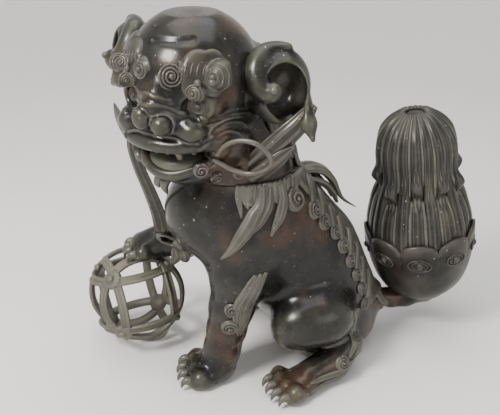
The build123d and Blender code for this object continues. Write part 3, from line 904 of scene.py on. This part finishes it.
def dress(piece, body, finish, *nodes):
    """Gives a finished piece its material and its body, and hides the nodes that it stands for."""
    piece.data.materials.clear()
    piece.data.materials.append(MATERIALS[finish])
    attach(piece, body)
    if nodes:
        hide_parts(*nodes)
    return piece


def make_head():
    clay = head_clay()
    shape_face(clay)
    skin = clay.copy()
    clay.cut([HEAD_BORE, bone((0, NECK_Y, 186, 30), (2, -34, 240, 36))], 2)
    clay.keep(above(SEAM_Z + SEAM_GAP))
    piece = clay.mesh("lion_head", THINNED)
    dress(piece, "head", "bronze", "head_shell", "lower_jaw")
    return skin


def make_eyes():
    """Low round eyes with rings engraved round their pupils."""
    for (left, forward, up), side, name in zip(EYES, (1, -1), ("left_eye", "right_eye")):
        parts = Parts()
        centre = in_head((left, forward - 1.0, up))
        way = head_way((0.25 * side, 1, 0.1))
        dome(parts, centre, way, 8.0, 4.6, sunk=4, around=28)
        dome(parts, centre + way * 4.2, way, 2.0, 1.3, around=14)
        first = sideways(way, (0, 0, 1))
        second = np.cross(unit(way), first)
        angle = np.linspace(0, 2 * math.pi, 41)
        for size, push in ((4.6, 3.7), (7.4, 1.4), (9.4, 0.4)):
            ring = (centre + unit(way) * push + np.outer(size * np.cos(angle) * 0.9, first)
                    + np.outer(size * np.sin(angle) * 1.05, second))
            parts.strand(ring, way, np.full(41, 0.7), flat=1, around=6)
        dress(parts.piece(name + "_form"), "head", "eye_bronze", name)


# Each brow's lobes, curls (with the way they wind) and beads, by left, forward, up and radius.
BROWS = {
    "left_brow": ([(17, 40, 25, 10), (28, 40, 19, 9), (42, 34, 23, 12), (30, 36, 32, 12), (46, 27, 31, 11),
                   (38, 30, 36, 10)],
                  [(18, 45, 25, 9, -1), (42, 36, 26, 10, 1), (30, 43, 15, 6.5, 1)],
                  [(31, 46, 23, 2.8), (42, 46, 26, 3)]),
    "right_brow": ([(-9, 40, 26, 10), (-20, 40, 20, 9.5), (-33, 34, 25, 12), (-22, 36, 33, 12),
                    (-38, 27, 32, 11), (-28, 30, 38, 10)],
                   [(-10, 45, 26, 8.5, 1), (-29, 38, 26, 7.5, -1), (-21, 43, 16, 6, 1)],
                   [(-22, 47, 25, 2.4)]),
}


def make_brow(skin, name, lobes, curls, beads):
    """Low plaque with a lobed edge above an eye, with engraved discs, beads and hatched hair."""
    corners = [in_head(np.array(lobe[:3]) + margin * np.ones(3)) for lobe in lobes for margin in (-19, 19)]
    balls = [head_blob(lobe[:3], (lobe[3],) * 3) for lobe in lobes]
    plate = skin_patch(skin, np.min(corners, axis=0), np.max(corners, axis=0), 0.9, 3.2, balls)
    plate.add([head_blob((left, forward - 0.75 * radius, up), (radius, 1.05 * radius, radius))
               for left, forward, up, radius, _ in curls], 1.5)
    parts = Parts()
    heading = head_way((0, -1, -0.3))
    for left, forward, up, radius, hand in curls:
        engraved_spiral(parts, plate, (left, forward, up), heading, radius, hand)
    for left, forward, up, radius in beads:
        centre = plate.land([in_head((left, forward, up)) - unit(heading) * 8], heading)
        dome(parts, centre[0], plate.slope(centre)[0], radius, 1.1 * radius, around=14)
    left, forward, up = lobes[3][:3]
    for step in range(-3, 4):
        line = [in_head((left + 3.2 * step, forward + 22, up + shift)) for shift in (0, 4, 8)]
        lay_lock(parts, plate, line, heading, 0.9, 0.5, 1, lift=0.0, steps=3, start=0.5, tip=0.4)
    dress(plate.mesh(name + "_plate", THINNED), "head", "bronze_dull", name)
    dress(parts.piece(name + "_curls"), "head", "bronze_dull")


def engraved_spiral(parts, clay, place, heading, radius, hand, turns=3.0):
    """Thin spiral line that hugs a surface, with a small bead in its middle."""
    centre = clay.land([in_head(place) - unit(heading) * 8], heading)[0]
    normal = clay.slope([centre])[0]
    first = sideways(normal, (0, 0, -1))
    second = hand * np.cross(normal, first)
    share = np.linspace(0, 1, int(turns * 14))
    angle = share * turns * 2 * math.pi
    reach = radius * (0.95 - 0.75 * share)
    flat = centre + np.outer(reach * np.cos(angle), first) + np.outer(reach * np.sin(angle), second)
    path = clay.land(flat + normal * 6, -normal, 14)
    parts.strand(path, normal, np.full(len(path), 0.75), flat=1, around=6)
    dome(parts, centre, normal, 0.2 * radius, 0.22 * radius, around=12)


def make_ear(name, side):
    """Drooping ear: a deep bowl open to the front, with a rolled front edge and a pointed tip."""
    corners = [by_ear((across, up, out), side)
               for across in (-34, 32) for up in (-50, 38) for out in (-20, 26)]
    clay = Clay(np.min(corners, axis=0), np.max(corners, axis=0), 0.95)
    clay.add([ear_blob((0, 0, 0), (22.5, 27, 16), side)])
    tip = EAR_TIPS[side]
    clay.add(chain([by_ear(joint, side) for joint in tip]), 5)
    clay.cut([ear_blob((4, -5, 6), (15.5, 19, 17), side), ear_blob((8, -18, 8), (10, 12, 12), side)], 2)
    roll = [(6, 24, 5, 4), (-3, 23, 5, 5.5), (-11, 18, 7, 7.6), (-15, 8, 8, 8.2), (-13, -2, 9, 7.4),
            (-7, -8, 11, 6.2), (-3, -6, 13, 5.2)]
    clay.add(chain([by_ear(joint, side) for joint in smooth(roll, 3)]), 2)
    clay.add(chain([by_ear(joint, side) for joint in ((-22, -4, -2, 9), (-26, -10, -6, 9))]), 6)
    parts = Parts()
    way = head_way(EAR_AXES[2] * np.array([side, 1, 1]))
    dome(parts, by_ear((-3.5, -7, 18.5), side), way, 2.8, 2.4, around=14)
    dress(clay.mesh(name + "_form", EAR_THINNED), "head", "bronze", name)
    dress(parts.piece(name + "_bead"), "head", "bronze_relief")


def make_flame_locks():
    """Pointed lock under each ear, between the ear's tip and the neck."""
    for side, name in ((1, "left_flame_lock"), (-1, "right_flame_lock")):
        parts = Parts()
        across = head_way((EAR_AXES[0] + EAR_AXES[1]) * (side, 1, -1))
        upper = [(-20, -56, -24), (-8, -46, -13), (4, -36, -6), (13, -28, -2), (20, -20, 0), (25, -14, 1)]
        lower = [(-20, -64, -26), (-8, -56, -17), (3, -48, -11), (11, -42, -8)]
        if side < 0:
            upper = [(-20, -52, -24), (-16, -42, -16), (-12, -32, -10), (-8, -22, -8)]
        free_lock(parts, [by_ear(joint, side) for joint in upper], across, 9.5, 0.5, 7, tip=0.35, start=0.9)
        free_lock(parts, [by_ear(joint, side) for joint in lower], across, 8.0, 0.5, 6, tip=0.2, start=0.9)
        dress(parts.piece(name + "_form"), "head", "bronze_dull", name)


def make_ribbons():
    """Flat ribbon ends at the mouth: one hangs to the wrist, the other is bent back in a loop."""
    hanging = Parts()
    path = smooth([in_head((-35, 30, -24)), (-1, -80, 207), (-3, -81, 196), (-9, -76, 175), (-16, -68, 150),
                   (-22, -62, 128), (-26, -59, 110)], 6)
    width = np.interp(np.linspace(0, 1, len(path)), [0, 0.15, 0.3, 0.7, 1], [3.4, 4.4, 4.2, 6.0, 7.0])
    hanging.strand(path, (0.45, 0.85, 0.1), width, 0.34, 7, 0.14, 40)
    dress(hanging.piece("hanging_ribbon"), "head", "bronze_dull", "mouth_ribbon")
    loop = Parts()
    joints = [(39, 31, -30), (42, 29, -25), (49, 27, -20), (58, 25, -18), (67, 23, -20), (74, 21, -26.5),
              (75, 20, -33), (69, 21, -39), (59, 23, -42.5), (49, 26, -41), (41, 29, -37), (35, 31, -34)]
    path = np.array([in_head(joint) for joint in smooth(joints, 6)])
    loop.strand(path, head_way(EAR_AXES[2]), np.full(len(path), 3.4), 0.6, 4, 0.1, 16)
    dress(loop.piece("looped_ribbon"), "head", "bronze_dull", "ribbon_loop")


# Each upper tooth's left, forward, length and half width.
TEETH = [(-24, 41, 6.5, 2.8), (-16, 46, 6, 3.4), (-8, 49, 6, 3.4), (0, 50, 6, 3.4), (8, 48.5, 6, 3.4),
         (15.5, 45, 10, 3.6), (24, 40, 6, 3.2)]


def make_mouth():
    """Tongue that fills the mouth, worn teeth under the lip, and a tuft of beard."""
    clay = Clay((-60, -110, 160), (70, 30, 240), 1.0)
    clay.add([head_blob((3, 24, -41), (25, 19, 9)), head_blob((3, 30, -43), (19, 14, 7))], 4)
    dress(clay.mesh("tongue_form", THINNED), "head", "bronze_relief", "tongue")
    upper = Parts()
    for left, forward, drop, size in TEETH:
        path = [in_head((left, forward - 3 * step, -24 - drop * step)) for step in np.linspace(0, 1, 6)]
        upper.strand(path, head_way((1, 0, 0)), size * np.sqrt(np.linspace(1, 0.35, 6)), 0.8, around=10)
    dress(upper.piece("worn_teeth"), "head", "bronze_relief", "upper_teeth", "lower_teeth")
    beard = Parts()
    for left, reach, lean in ((-6, 7, -2), (-1, 11, 0)):
        joints = [(left, 36, -52), (left + lean * 0.4, 40, -55 - 0.3 * reach), (left + lean, 37, -56 - reach)]
        path = [in_head(joint) for joint in joints]
        free_lock(beard, path, head_way((1, 0.3, 0)), 4.6, 0.8, 5, tip=0.08, peak=0.2)
    dress(beard.piece("beard_tufts"), "head", "bronze_relief", "beard")


# Each curl's left, forward, up, radius and the way it winds.
JAW_CURLS = [(27, 34, -42, 6.0, 1), (33, 24, -52, 5.0, 1), (44, 12, -50, 4.5, -1), (-24, 33, -42, 6.0, -1),
             (-31, 20, -50, 5.0, -1)]


def make_jaw_curls(skin):
    parts = Parts()
    for left, forward, up, radius, hand in JAW_CURLS:
        way = head_way((0.5 * math.copysign(1, left), 0.8, -0.1))
        start = in_head((left, forward, up)) + way * 16
        lay_curl(parts, skin, start, -way, (0, 0, 1), radius, 2.6, hand=hand, turns=1.6)
    dress(parts.piece("jaw_curls"), "head", "bronze")


def make_head_mane():
    """Hair from the crown down to the nape, in rows of locks that end in curls."""
    clay = Clay((-66, -62, 160), (66, 74, 292), 1.4)
    nape = [(-8, -10, 240, 36), (-4, -8, 222, 36), (0, -5, 202, 34), (0, 0, 188, 33), (0, 6, 176, 35)]
    clay.add(chain(nape), 8)
    clay.cut([HEAD_BORE])
    clay.keep(above(SEAM_Z + SEAM_GAP))
    parts = Parts()
    for row, (top, height, count) in enumerate(((261, 24, 5), (250, 28, 7), (232, 28, 7), (214, 26, 5))):
        for index in range(count):
            turn = math.radians(98 + (index - (count - 1) / 2) * 24 + 8 * (row % 2))
            way = np.array([math.cos(turn), math.sin(turn), 0.0])
            side = np.cross(way, (0, 0, 1.0))
            base = np.array([0, 6, 0]) + way * 80
            joints = [base + (0, 0, top), base + (0, 0, top - 0.5 * height) + side * 3,
                      base + (0, 0, top - height) - side * 2]
            path, normals = lay_lock(parts, clay, joints, -way, 8.5, 0.5, 6, steps=5, tip=0.35)
            curl(parts, path[-1], normals[-1], (0, 0, 1), 6.5, 4, hand=1 if index % 2 else -1, turns=1.6)
    for across, reach, drop in ((-12, 46, 166), (-4, 52, 165), (4, 54, 165), (12, 47, 167)):
        joints = [(across, 39, 190), (across, 41, 179), (across, 45, 171), (across * 0.9, reach, drop)]
        free_lock(parts, joints, (1, 0, 0), 5.8, 0.5, 6, tip=0.1, start=0.8)
    dress(clay.mesh("head_mane_form", THINNED), "head", "bronze_relief", "head_mane")
    dress(parts.piece("head_mane_locks"), "head", "bronze_relief")


def tail_cut(x, y, z):
    """Distance beyond the plane where the tail joins its root."""
    lean = math.radians(20)
    return (y - 128.2) * math.cos(lean) + (z - 28.1) * math.sin(lean) + 0 * x


def make_body():
    clay = body_clay()
    clay.keep(above(FLOOR_GAP))
    skin = clay.copy()
    clay.cut([BODY_BORE, blob((0, 4, 132), (36, 40, 36))], 4)
    clay.cut([blob((0, 44, 92), (34, 36, 40), lean_axes(30)), blob((0, 70, 46), (32, 34, 40))], 6)
    clay.cut(chain([(0, 30, 112, 6), (0, 68, 147, 6), (0, 85, 166, 6)]), 1)
    clay.cut(chain([(0, 100, 38.5, 5), (0, 140, 24, 5)]))
    clay.keep(tail_cut)
    clay.keep(below(SEAM_Z))
    dress(clay.mesh("body_skin", BODY_THINNED), "body", "bronze", "torso_shell", "left_foreleg",
          "right_foreleg", "left_hind_leg", "right_hind_leg", "tail_socket")
    return skin


# ---- hair on the body -----------------------------------------------------------------------
# Each back curl's x, y, z and radius on the left side.
CURL_SPOTS = [(36, 51, 145, 7.6), (36, 62, 133, 6.8), (34, 73, 121, 6.0), (36, 79, 109, 6.4),
              (37, 85, 95, 5.8), (36, 91, 81, 5.8), (36, 96, 67, 5.6), (37, 99, 52, 5.6)]


def cape_region(x, y, z):
    """Distance beyond the scalloped lower edge of the cape and its front edge."""
    edge = 159 + 3.5 * np.abs(np.sin(y * 0.21)) + 0.12 * (y - 12)
    return np.maximum(edge - z, -9 - y) + 0 * x


def spine_region(x, y, z):
    """Distance beyond the edges of the strip of hair down the back."""
    middle = 14 + (170 - z) * 0.55
    return np.maximum(np.maximum(np.abs(x) - 30, middle - y), 44 - z)


# Each tress's line of y and z, half width, grooves and shape.
TRESSES = [([(4, 180), (2, 166), (-3, 159), (-8, 151), (-14, 143), (-20, 134), (-27, 125)], 6.2, 8,
            dict(lift=0.35, tip=0.15, peak=0.5)),
           ([(10, 178), (8, 166), (3, 157), (-2, 150), (-6, 145)], 4.6, 6, dict(lift=0.3, tip=0.15)),
           ([(20, 178), (20, 166), (17, 156), (13, 149), (9, 141)], 5.0, 7, dict(lift=0.35, tip=0.2))]


def make_shoulder_hair(skin, name, side):
    """Cape of short strands below the seam, a lobe with a spiral, and two long tresses."""
    low, high = sorted((side * 20, side * 58))
    cape = skin_patch(skin, (low, -16, 148), (high, 50, 180), 1.0, 1.3, cape_region)
    cape.keep(below(SEAM_Z))
    dress(cape.mesh(name + "_cape", THINNED), "body", "bronze_relief")
    parts = Parts()
    heading = (-side, 0, -0.12)
    for index in range(13):
        y = -12 + 3.9 * index
        lean = 2.5 * math.sin(index * 2.1)
        drop = 20 - 0.5 * index + 4 * math.cos(index * 1.7)
        joints = [(side * 90, y, 181), (side * 90, y - 1, 172), (side * 90, y + lean, 181 - drop)]
        lay_lock(parts, skin, joints, heading, 3.0, 0.5, 3, steps=5, tip=0.25, start=0.8)
    for line, width, grooves, shape in TRESSES:
        path = [(side * 90, y, z) for y, z in line]
        lay_lock(parts, skin, path, heading, width, 0.6, grooves, **shape)
    lay_curl(parts, skin, (side * 90, 31, 164), heading, (0, 0, 1), 9.5, 4.2, hand=side, turns=1.5, tube=0.14)
    dress(parts.piece(name + "_form"), "body", "bronze_relief", name)


def make_back_hair(skin):
    """Grooved locks down the spine, with a row of spiral curls on each side of them."""
    base = skin_patch(skin, (-36, 14, 40), (36, 128, 174), 1.2, 1.7, spine_region)
    base.cut([BODY_BORE])
    base.keep(below(SEAM_Z))
    dress(base.mesh("spine_base", THINNED), "body", "bronze_relief")
    strip = Parts()
    for across in (-25, -17, -8.5, 0, 8.5, 17, 25):
        spread = 0.75 + 0.25 * abs(across) / 25
        joints = [(across * spread, 140, 186), (across, 150, 160), (across, 160, 130),
                  (across * 0.98, 170, 100), (across * 0.92, 180, 72), (across * 0.85, 190, 46)]
        if abs(across) < 9:
            joints = joints[:1] + [(across, 146, 172)] + joints[1:-1]
        lay_lock(strip, skin, joints, (0, -1, -0.35), 6.2, 0.5, 6, lift=0.1, steps=6, start=0.7, tip=0.3)
    dress(strip.piece("spine_locks"), "body", "bronze_relief", "spine_mane")
    curls = Parts()
    for side in (1, -1):
        for x, y, z, radius in CURL_SPOTS:
            root = sided([(14, y + 60, z + 34), (24, y + 58, z + 26), (x - 3, y + 56, z + 15)], side)
            lay_lock(curls, skin, root, (0, -1, -0.2), 5.2, 0.6, 4, lift=0.3, steps=4, tip=0.5)
            start = (side * (x + 24), y + 24, z + 6)
            heading = (-side * 0.68, -0.68, -0.18)
            lay_curl(curls, skin, start, heading, (0, 0.5, 1), radius, 0.45 * radius, hand=-side, turns=2.0,
                     tube=0.14)
    dress(curls.piece("curl_rows"), "body", "bronze_relief", "spine_curls")


def make_nape_arch():
    """Hollow lock that arches over the smoke vent and ends in a free tip."""
    parts = Parts()
    arch = [(0, 42, 163), (0, 50, 165), (0, 60, 165), (0, 69, 161), (0, 77, 152), (0, 82, 142), (0, 88, 133),
            (0, 100, 124)]
    free_lock(parts, arch, (1, 0, 0), 9.5, 0.42, 9, start=0.9, tip=0.08, peak=0.25)
    for side in (1, -1):
        edge = sided([(8, 44, 158), (10, 56, 158), (9, 67, 153), (8, 75, 144), (6, 80, 134)], side)
        free_lock(parts, edge, (0.6, side * 0.3, 0.6), 4.2, 0.6, 5, start=0.8, tip=0.4)
    dress(parts.piece("nape_arch"), "body", "bronze_relief", "nape_mane")


def make_elbow_hair(skin):
    """Tuft with two curls behind the left elbow."""
    tuft = Parts()
    for shift in (0, 4.5, 9):
        joints = [(90, -3 + shift, 106), (90, -9 + shift, 96), (90, -15 + shift, 84), (90, -17 + shift, 72),
                  (90, -17 + 0.8 * shift, 60), (90, -15 + 0.4 * shift, 48)]
        lay_lock(tuft, skin, joints, (-1, 0, 0), 4.6, 0.6, 5, lift=0.25, tip=0.15, start=0.4)
    for y, z, radius in ((-24, 75, 6.4), (-26, 59, 7.0)):
        lay_curl(tuft, skin, (90, y, z), (-1, 0.1, 0), (0, 1, 0.4), radius, 3.0, hand=1, turns=2.0, tube=0.14)
    dress(tuft.piece("elbow_hair"), "body", "bronze_relief", "left_elbow_tuft")


def make_hock_hair(skin):
    """Fringe with two curls on each hock."""
    for side, name in ((1, "left_hock_fringe"), (-1, "right_hock_fringe")):
        fringe = Parts()
        heading = (-0.9 * side, -0.3, -0.1)
        for drop in (0, 7):
            rear = sided([(110, 104 - drop, 66), (111, 106 - drop, 50), (113, 104 - drop, 38),
                          (115, 96 - drop, 28)], side)
            lay_lock(fringe, skin, rear, heading, 4.4, 0.4, 5, lift=0.2, start=0.3, tip=0.3)
        for rise in (20, 14):
            low = sided([(118, 96, rise + 4), (122, 80, rise), (124, 64, rise), (124, 50, rise)], side)
            lay_lock(fringe, skin, low, heading, 3.8, 0.4, 5, lift=0.2, tip=0.25)
        for spot, radius, height, turns in (((114, 100, 40), 5.0, 2.6, 1.8), ((118, 82, 26), 6.4, 3.0, 2.0)):
            lay_curl(fringe, skin, sided([spot], side)[0], heading, (0, 0, 1), radius, height, hand=-side,
                     turns=turns, tube=0.14)
        dress(fringe.piece(name + "_form"), "body", "bronze_relief", name)


def make_claws():
    parts = Parts()
    claw_parts(parts, (29, -43, 7.5), (-0.12, -1), 9.8, 12.5, 6.0, 0.7)
    for side in (1, -1):
        claw_parts(parts, (side * 68, 20, 7.5), (side * 0.2, -1), 9.0, 11.5, 6.0, 0.7)
    claw_parts(parts, (-41, -76, 89), (-0.05, -1), 8.2, 9, 5.6, 0.9)
    dress(parts.piece("claws"), "body", "bronze_relief")


# ---- ball -----------------------------------------------------------------------------------
BALL_CENTRE = np.array([-44.0, -82.0, 45.5])
BALL_RADIUS = 40.5
BALL_TILT = (5.6, -15.5, 10.6)
BAND_ANGLE = math.radians(58)


def ball_turn():
    """The ball's own axes, turned about X, Y and Z."""
    turn = np.eye(3)
    for axis, degrees in enumerate(BALL_TILT):
        angle = math.radians(degrees)
        first, second = (axis + 1) % 3, (axis + 2) % 3
        step = np.eye(3)
        step[first, first] = step[second, second] = math.cos(angle)
        step[first, second] = -math.sin(angle)
        step[second, first] = math.sin(angle)
        turn = turn @ step
    return turn.T


def band_profile():
    """Cross-section of a band: half width across, height out, with a raised line along each edge."""
    half = [(3.5, -1.6), (3.9, 0.0), (3.6, 1.5), (2.8, 1.6), (2.1, 0.5), (1.0, 0.4)]
    return np.array(half + [(-across, out) for across, out in reversed(half)])


def make_bands(axes):
    """Six round bands, one about each face of a cube."""
    bands = Parts()
    profile = band_profile()
    rows = 72
    turn = np.linspace(0, 2 * math.pi, rows, endpoint=False)
    for pole in (*np.eye(3), *-np.eye(3)):
        first = np.roll(pole, 1)
        second = np.cross(pole, first)
        out = ((np.outer(np.cos(turn), first) + np.outer(np.sin(turn), second)) * math.sin(BAND_ANGLE)
               + pole * math.cos(BAND_ANGLE))
        side = pole - out * (out @ pole)[:, None]
        side /= np.linalg.norm(side, axis=1, keepdims=True)
        rings = (out[:, None] * (BALL_RADIUS + profile[None, :, 1:2]) + side[:, None] * profile[None, :, 0:1])
        points = rings.reshape(-1, 3) @ axes + BALL_CENTRE
        count = len(profile)
        row, step = np.meshgrid(np.arange(rows), np.arange(count), indexing="ij")
        after = (step + 1) % count
        ahead = ((row + 1) % rows) * count
        faces = np.stack([row * count + step, row * count + after, ahead + after, ahead + step], axis=-1)
        bands.put(points, faces.reshape(-1, 4))
    dress(bands.piece("ball_bands"), "body", "ball_bronze", "brocade_ball", "ball_pin")


def make_studs(axes):
    """Stepped studs at the corners of the same cube."""
    studs = Parts()
    for corner in np.ndindex(2, 2, 2):
        out = unit(np.array(corner) * 2 - 1) @ axes
        dome(studs, BALL_CENTRE + out * BALL_RADIUS, out, 8.0, 2.2, sunk=2.6, around=24)
        dome(studs, BALL_CENTRE + out * (BALL_RADIUS + 1.9), out, 3.1, 2.8, around=16)
    dress(studs.piece("ball_bosses"), "body", "ball_bronze", "ball_studs")


def make_broken_leaf():
    """Bent leaf that is left of the ball's broken foot."""
    leaf = Parts()
    outline = [(-34, -90, 9, 1.5), (-32, -82, 6, 3.5), (-31, -73, 5, 4.6), (-30, -65, 8, 5.5),
               (-29, -58, 15, 2)]
    path = smooth([joint[:3] for joint in outline], 5)
    width = smooth([(joint[3], 0, 0) for joint in outline], 5)[:, 0]
    leaf.strand(path, (0.4, 0, -1), width, 0.2, 3, 0.2, around=14)
    dress(leaf.piece("broken_leaf"), "body", "ball_bronze")


def make_wrist_bow():
    """Knot and two loops of ribbon on the raised wrist."""
    parts = Parts()
    knot = [(-22, -50, 104), (-20, -46, 100), (-19, -43, 94)]
    free_lock(parts, knot, (0.2, 0.6, 0.8), 7, 0.8, 6, tip=0.6, start=0.8)
    loops = [[(-20, -47, 102), (-22, -56, 108), (-24, -62, 109), (-24, -62, 104), (-22, -55, 101),
              (-20, -47, 99)],
             [(-19, -46, 101), (-17, -40, 101), (-16, -36, 96), (-17, -39, 91), (-19, -45, 95)]]
    for joints in loops:
        path = smooth(joints, 6)
        parts.strand(path, (1, 0.3, 0.1), np.full(len(path), 4.0), 0.3, 6, 0.12, 24)
    for joints in ([(-20, -50, 98), (-18, -50, 90), (-19, -54, 84)],
                   [(-18, -45, 97), (-16, -43, 90), (-17, -44, 85)]):
        free_lock(parts, joints, (0.3, 1, 0), 5.0, 0.35, 6, start=0.6, tip=0.6)
    dress(parts.piece("wrist_ribbon"), "body", "bronze_relief", "wrist_bow")


# ---- tail -----------------------------------------------------------------------------------
TAIL_FOOT = np.array([0.0, 171.0, 26.0])
TAIL_LEAN = math.radians(8)
PLUME_LINE = [(39.5, 62), (41, 72), (40, 86), (36.5, 101), (33, 112), (30.5, 122), (29.5, 133), (30, 146),
              (29, 155), (26, 164), (21, 171.5), (15, 176.5), (9.5, 178.5)]
LOCKS = 20
PETALS = 9
PETAL_TURN = math.radians(13)


def by_tail(angle, radius, height):
    """From angle, radius and height about the tail's axis to the lion's axes."""
    x = radius * np.cos(angle)
    y = radius * np.sin(angle)
    cos, sin = math.cos(TAIL_LEAN), math.sin(TAIL_LEAN)
    return np.stack([x, y * cos - height * sin, y * sin + height * cos], axis=-1) + TAIL_FOOT


def put_shell(parts, outer, inner, open_cells):
    """Double wall from two grids of points, closed along its ends and round its open cells."""
    rows, columns = outer.shape[:2]
    index = np.arange(rows * columns).reshape(rows, columns)
    second = index + rows * columns
    faces = []
    for row in range(rows - 1):
        for column in range(columns):
            ahead = (column + 1) % columns
            if open_cells[row, column]:
                continue
            corners = [(row, column), (row, ahead), (row + 1, ahead), (row + 1, column)]
            faces.append([index[corner] for corner in corners])
            faces.append([second[corner] for corner in reversed(corners)])
            beyond = [(row - 1, column), (row, ahead), (row + 1, column), (row, column - 1)]
            for edge, (next_row, next_column) in enumerate(beyond):
                outside = not 0 <= next_row < rows - 1
                if outside or open_cells[next_row, next_column % columns]:
                    start, end = corners[edge], corners[(edge + 1) % 4]
                    faces.append([index[end], index[start], second[start], second[end]])
    parts.put(np.vstack([outer.reshape(-1, 3), inner.reshape(-1, 3)]), faces)


def make_plume():
    """Ribbed locks of hair from the cup to the crown; every other lock has a knuckle at the waist."""
    line = smooth(PLUME_LINE, 5)
    radius, height = line[:, 0:1], line[:, 1:2]
    per_lock = 12
    angle = np.arange(LOCKS * per_lock)[None, :] * 2 * math.pi / (LOCKS * per_lock)
    lock = (np.arange(LOCKS * per_lock) // per_lock)[None, :]
    place = ((np.arange(LOCKS * per_lock) % per_lock + 0.5) / per_lock * 2 - 1)[None, :]
    crown = np.sqrt(np.clip(1 - place ** 2, 0, 1))
    fade = np.clip((radius - 6) / 20, 0, 1)
    ribs = 0.2 * np.cos(place * math.pi * 3.5) * (1 - np.abs(place) ** 3)
    knuckle_height = 124 + 5 * np.sin(lock * 1.9)
    even = (lock % 2 == 0)
    knuckle = np.exp(-((height - knuckle_height) / 6.5) ** 2)
    throat = np.exp(-((height - knuckle_height + 13) / 6) ** 2)
    swell = np.where(even, 5.5 * knuckle - 3.2 * throat, -1.2 * knuckle + 0.5 * throat)
    swell = swell * (0.25 + 0.75 * crown)
    upper = 1 / (1 + np.exp(-(height - knuckle_height) / 4))
    swell = swell + np.where(even, 1.4 * upper, 1.0 * (1 - upper)) * crown
    outer_radius = radius + (3.0 * crown + ribs + swell) * fade
    outer = by_tail(angle + 0 * height, outer_radius, height + 0 * angle + 2.2 * crown * (1 - fade))
    inner = by_tail(angle + 0 * height, radius - 3.0 + 0 * angle, height - 0.5 + 0 * angle)
    slot = (np.abs(height - knuckle_height + 6) < 6) & even & (np.abs(place) > 0.8)
    parts = Parts()
    put_shell(parts, outer, inner, slot[:-1])
    dome(parts, by_tail(0, 0, 174.0), by_tail(0, 0, 2.0) - by_tail(0, 0, 1.0), 12, 4.5, around=24)
    dress(parts.piece("plume_locks"), "tail", "tail_bronze", "tail_plume", "tail_ring")


def make_tail_cup():
    """Scalloped bowl with raised lines round its petals."""
    per_petal = 22
    columns = PETALS * per_petal
    angle = np.arange(columns) * 2 * math.pi / columns + PETAL_TURN
    place = (np.arange(columns) % per_petal) / per_petal * 2 - 1
    angle = (angle - math.pi / PETALS)[None, :]
    arch = np.sqrt(np.clip(1 - place ** 2, 0.0, 1))[None, :]
    line = smooth([(6, 4), (16, 7), (27, 14), (36.5, 25), (42, 39), (45, 54), (46, 70)], 5)
    share = np.linspace(0, 1, len(line))[:, None]
    rim = 70 + 9 * arch
    height = line[:, 1:2] * (1 + (rim / 70 - 1) * share ** 3)
    reach = line[:, 0:1] + 1.2 * arch * share ** 2
    below = rim - height
    ridges = sum(0.55 * np.exp(-((below - depth * (0.6 + 0.4 * arch)) / 0.9) ** 2) for depth in (2, 5.5, 9))
    outer = by_tail(angle + 0 * height, reach + ridges * share, height)
    inner = by_tail(angle + 0 * height, np.maximum(reach - 2.4, 2), height + 0.2)
    parts = Parts()
    put_shell(parts, outer, inner, np.zeros((len(line) - 1, columns), bool))
    dress(parts.piece("petal_cup"), "tail", "tail_bronze", "tail_cup")


def make_petal_eyes():
    """Domed boss with two rings on each petal."""
    bosses = Parts()
    for petal in range(PETALS):
        turn = PETAL_TURN + petal * 2 * math.pi / PETALS
        centre = by_tail(turn, 45.8, 60.0)
        way = by_tail(turn, 60.0, 60.0) - by_tail(turn, 40.0, 61.5)
        dome(bosses, centre, way, 3.2, 2.6, around=14)
        first = sideways(way, (0, 0, 1))
        second = np.cross(unit(way), first)
        ring_turn = np.linspace(0, 2 * math.pi, 25)
        for size in (5.2, 7.6):
            ring = (centre + np.outer(0.72 * size * np.cos(ring_turn), first)
                    + np.outer(1.25 * size * np.sin(ring_turn), second))
            bosses.strand(ring, way, np.full(25, 0.75), flat=1, around=6)
    dress(bosses.piece("petal_eyes"), "tail", "tail_bronze")


def make_tail_stem():
    clay = Clay((-26, 124, 8), (28, 196, 60), 1.0)
    clay.add(chain([(0, 127, 31.5, 8.8), (0, 141, 28, 8.2), (0, 154, 28, 9.5), (0, 168, 34, 15)]), 6)
    clay.add([blob((0, 170, 37), (22, 22, 8))], 7)
    clay.keep(lambda x, y, z: -tail_cut(x, y, z))
    dress(clay.mesh("tail_stem_form", THINNED), "tail", "bronze", "tail_stem")


def finish_cad_nodes():
    """Better materials for the hidden nodes that keep their shape from CAD."""
    for name, finish in (("belly_cover", "bare_bronze"), ("neck_ledge", "bare_bronze"),
                         ("head_spigot", "bare_bronze"), ("incense_cup", "cup_copper")):
        kept = bpy.data.objects[name].data.materials
        kept.clear()
        kept.append(MATERIALS[finish])


def main():
    point_camera()
    add_floor()
    set_lights()
    finish_cad_nodes()
    body_skin = make_body()
    head_skin = make_head()
    make_eyes()
    for name, (lobes, curls, beads) in BROWS.items():
        make_brow(head_skin, name, lobes, curls, beads)
    for name, side in (("left_ear", 1), ("right_ear", -1)):
        make_ear(name, side)
    make_flame_locks()
    make_ribbons()
    make_mouth()
    make_jaw_curls(head_skin)
    make_head_mane()
    for name, side in (("left_shoulder_locks", 1), ("right_shoulder_locks", -1)):
        make_shoulder_hair(body_skin, name, side)
    make_back_hair(body_skin)
    make_nape_arch()
    make_elbow_hair(body_skin)
    make_hock_hair(body_skin)
    make_claws()
    ball_axes = ball_turn()
    make_bands(ball_axes)
    make_studs(ball_axes)
    make_broken_leaf()
    make_wrist_bow()
    make_plume()
    make_tail_cup()
    make_petal_eyes()
    make_tail_stem()


main()
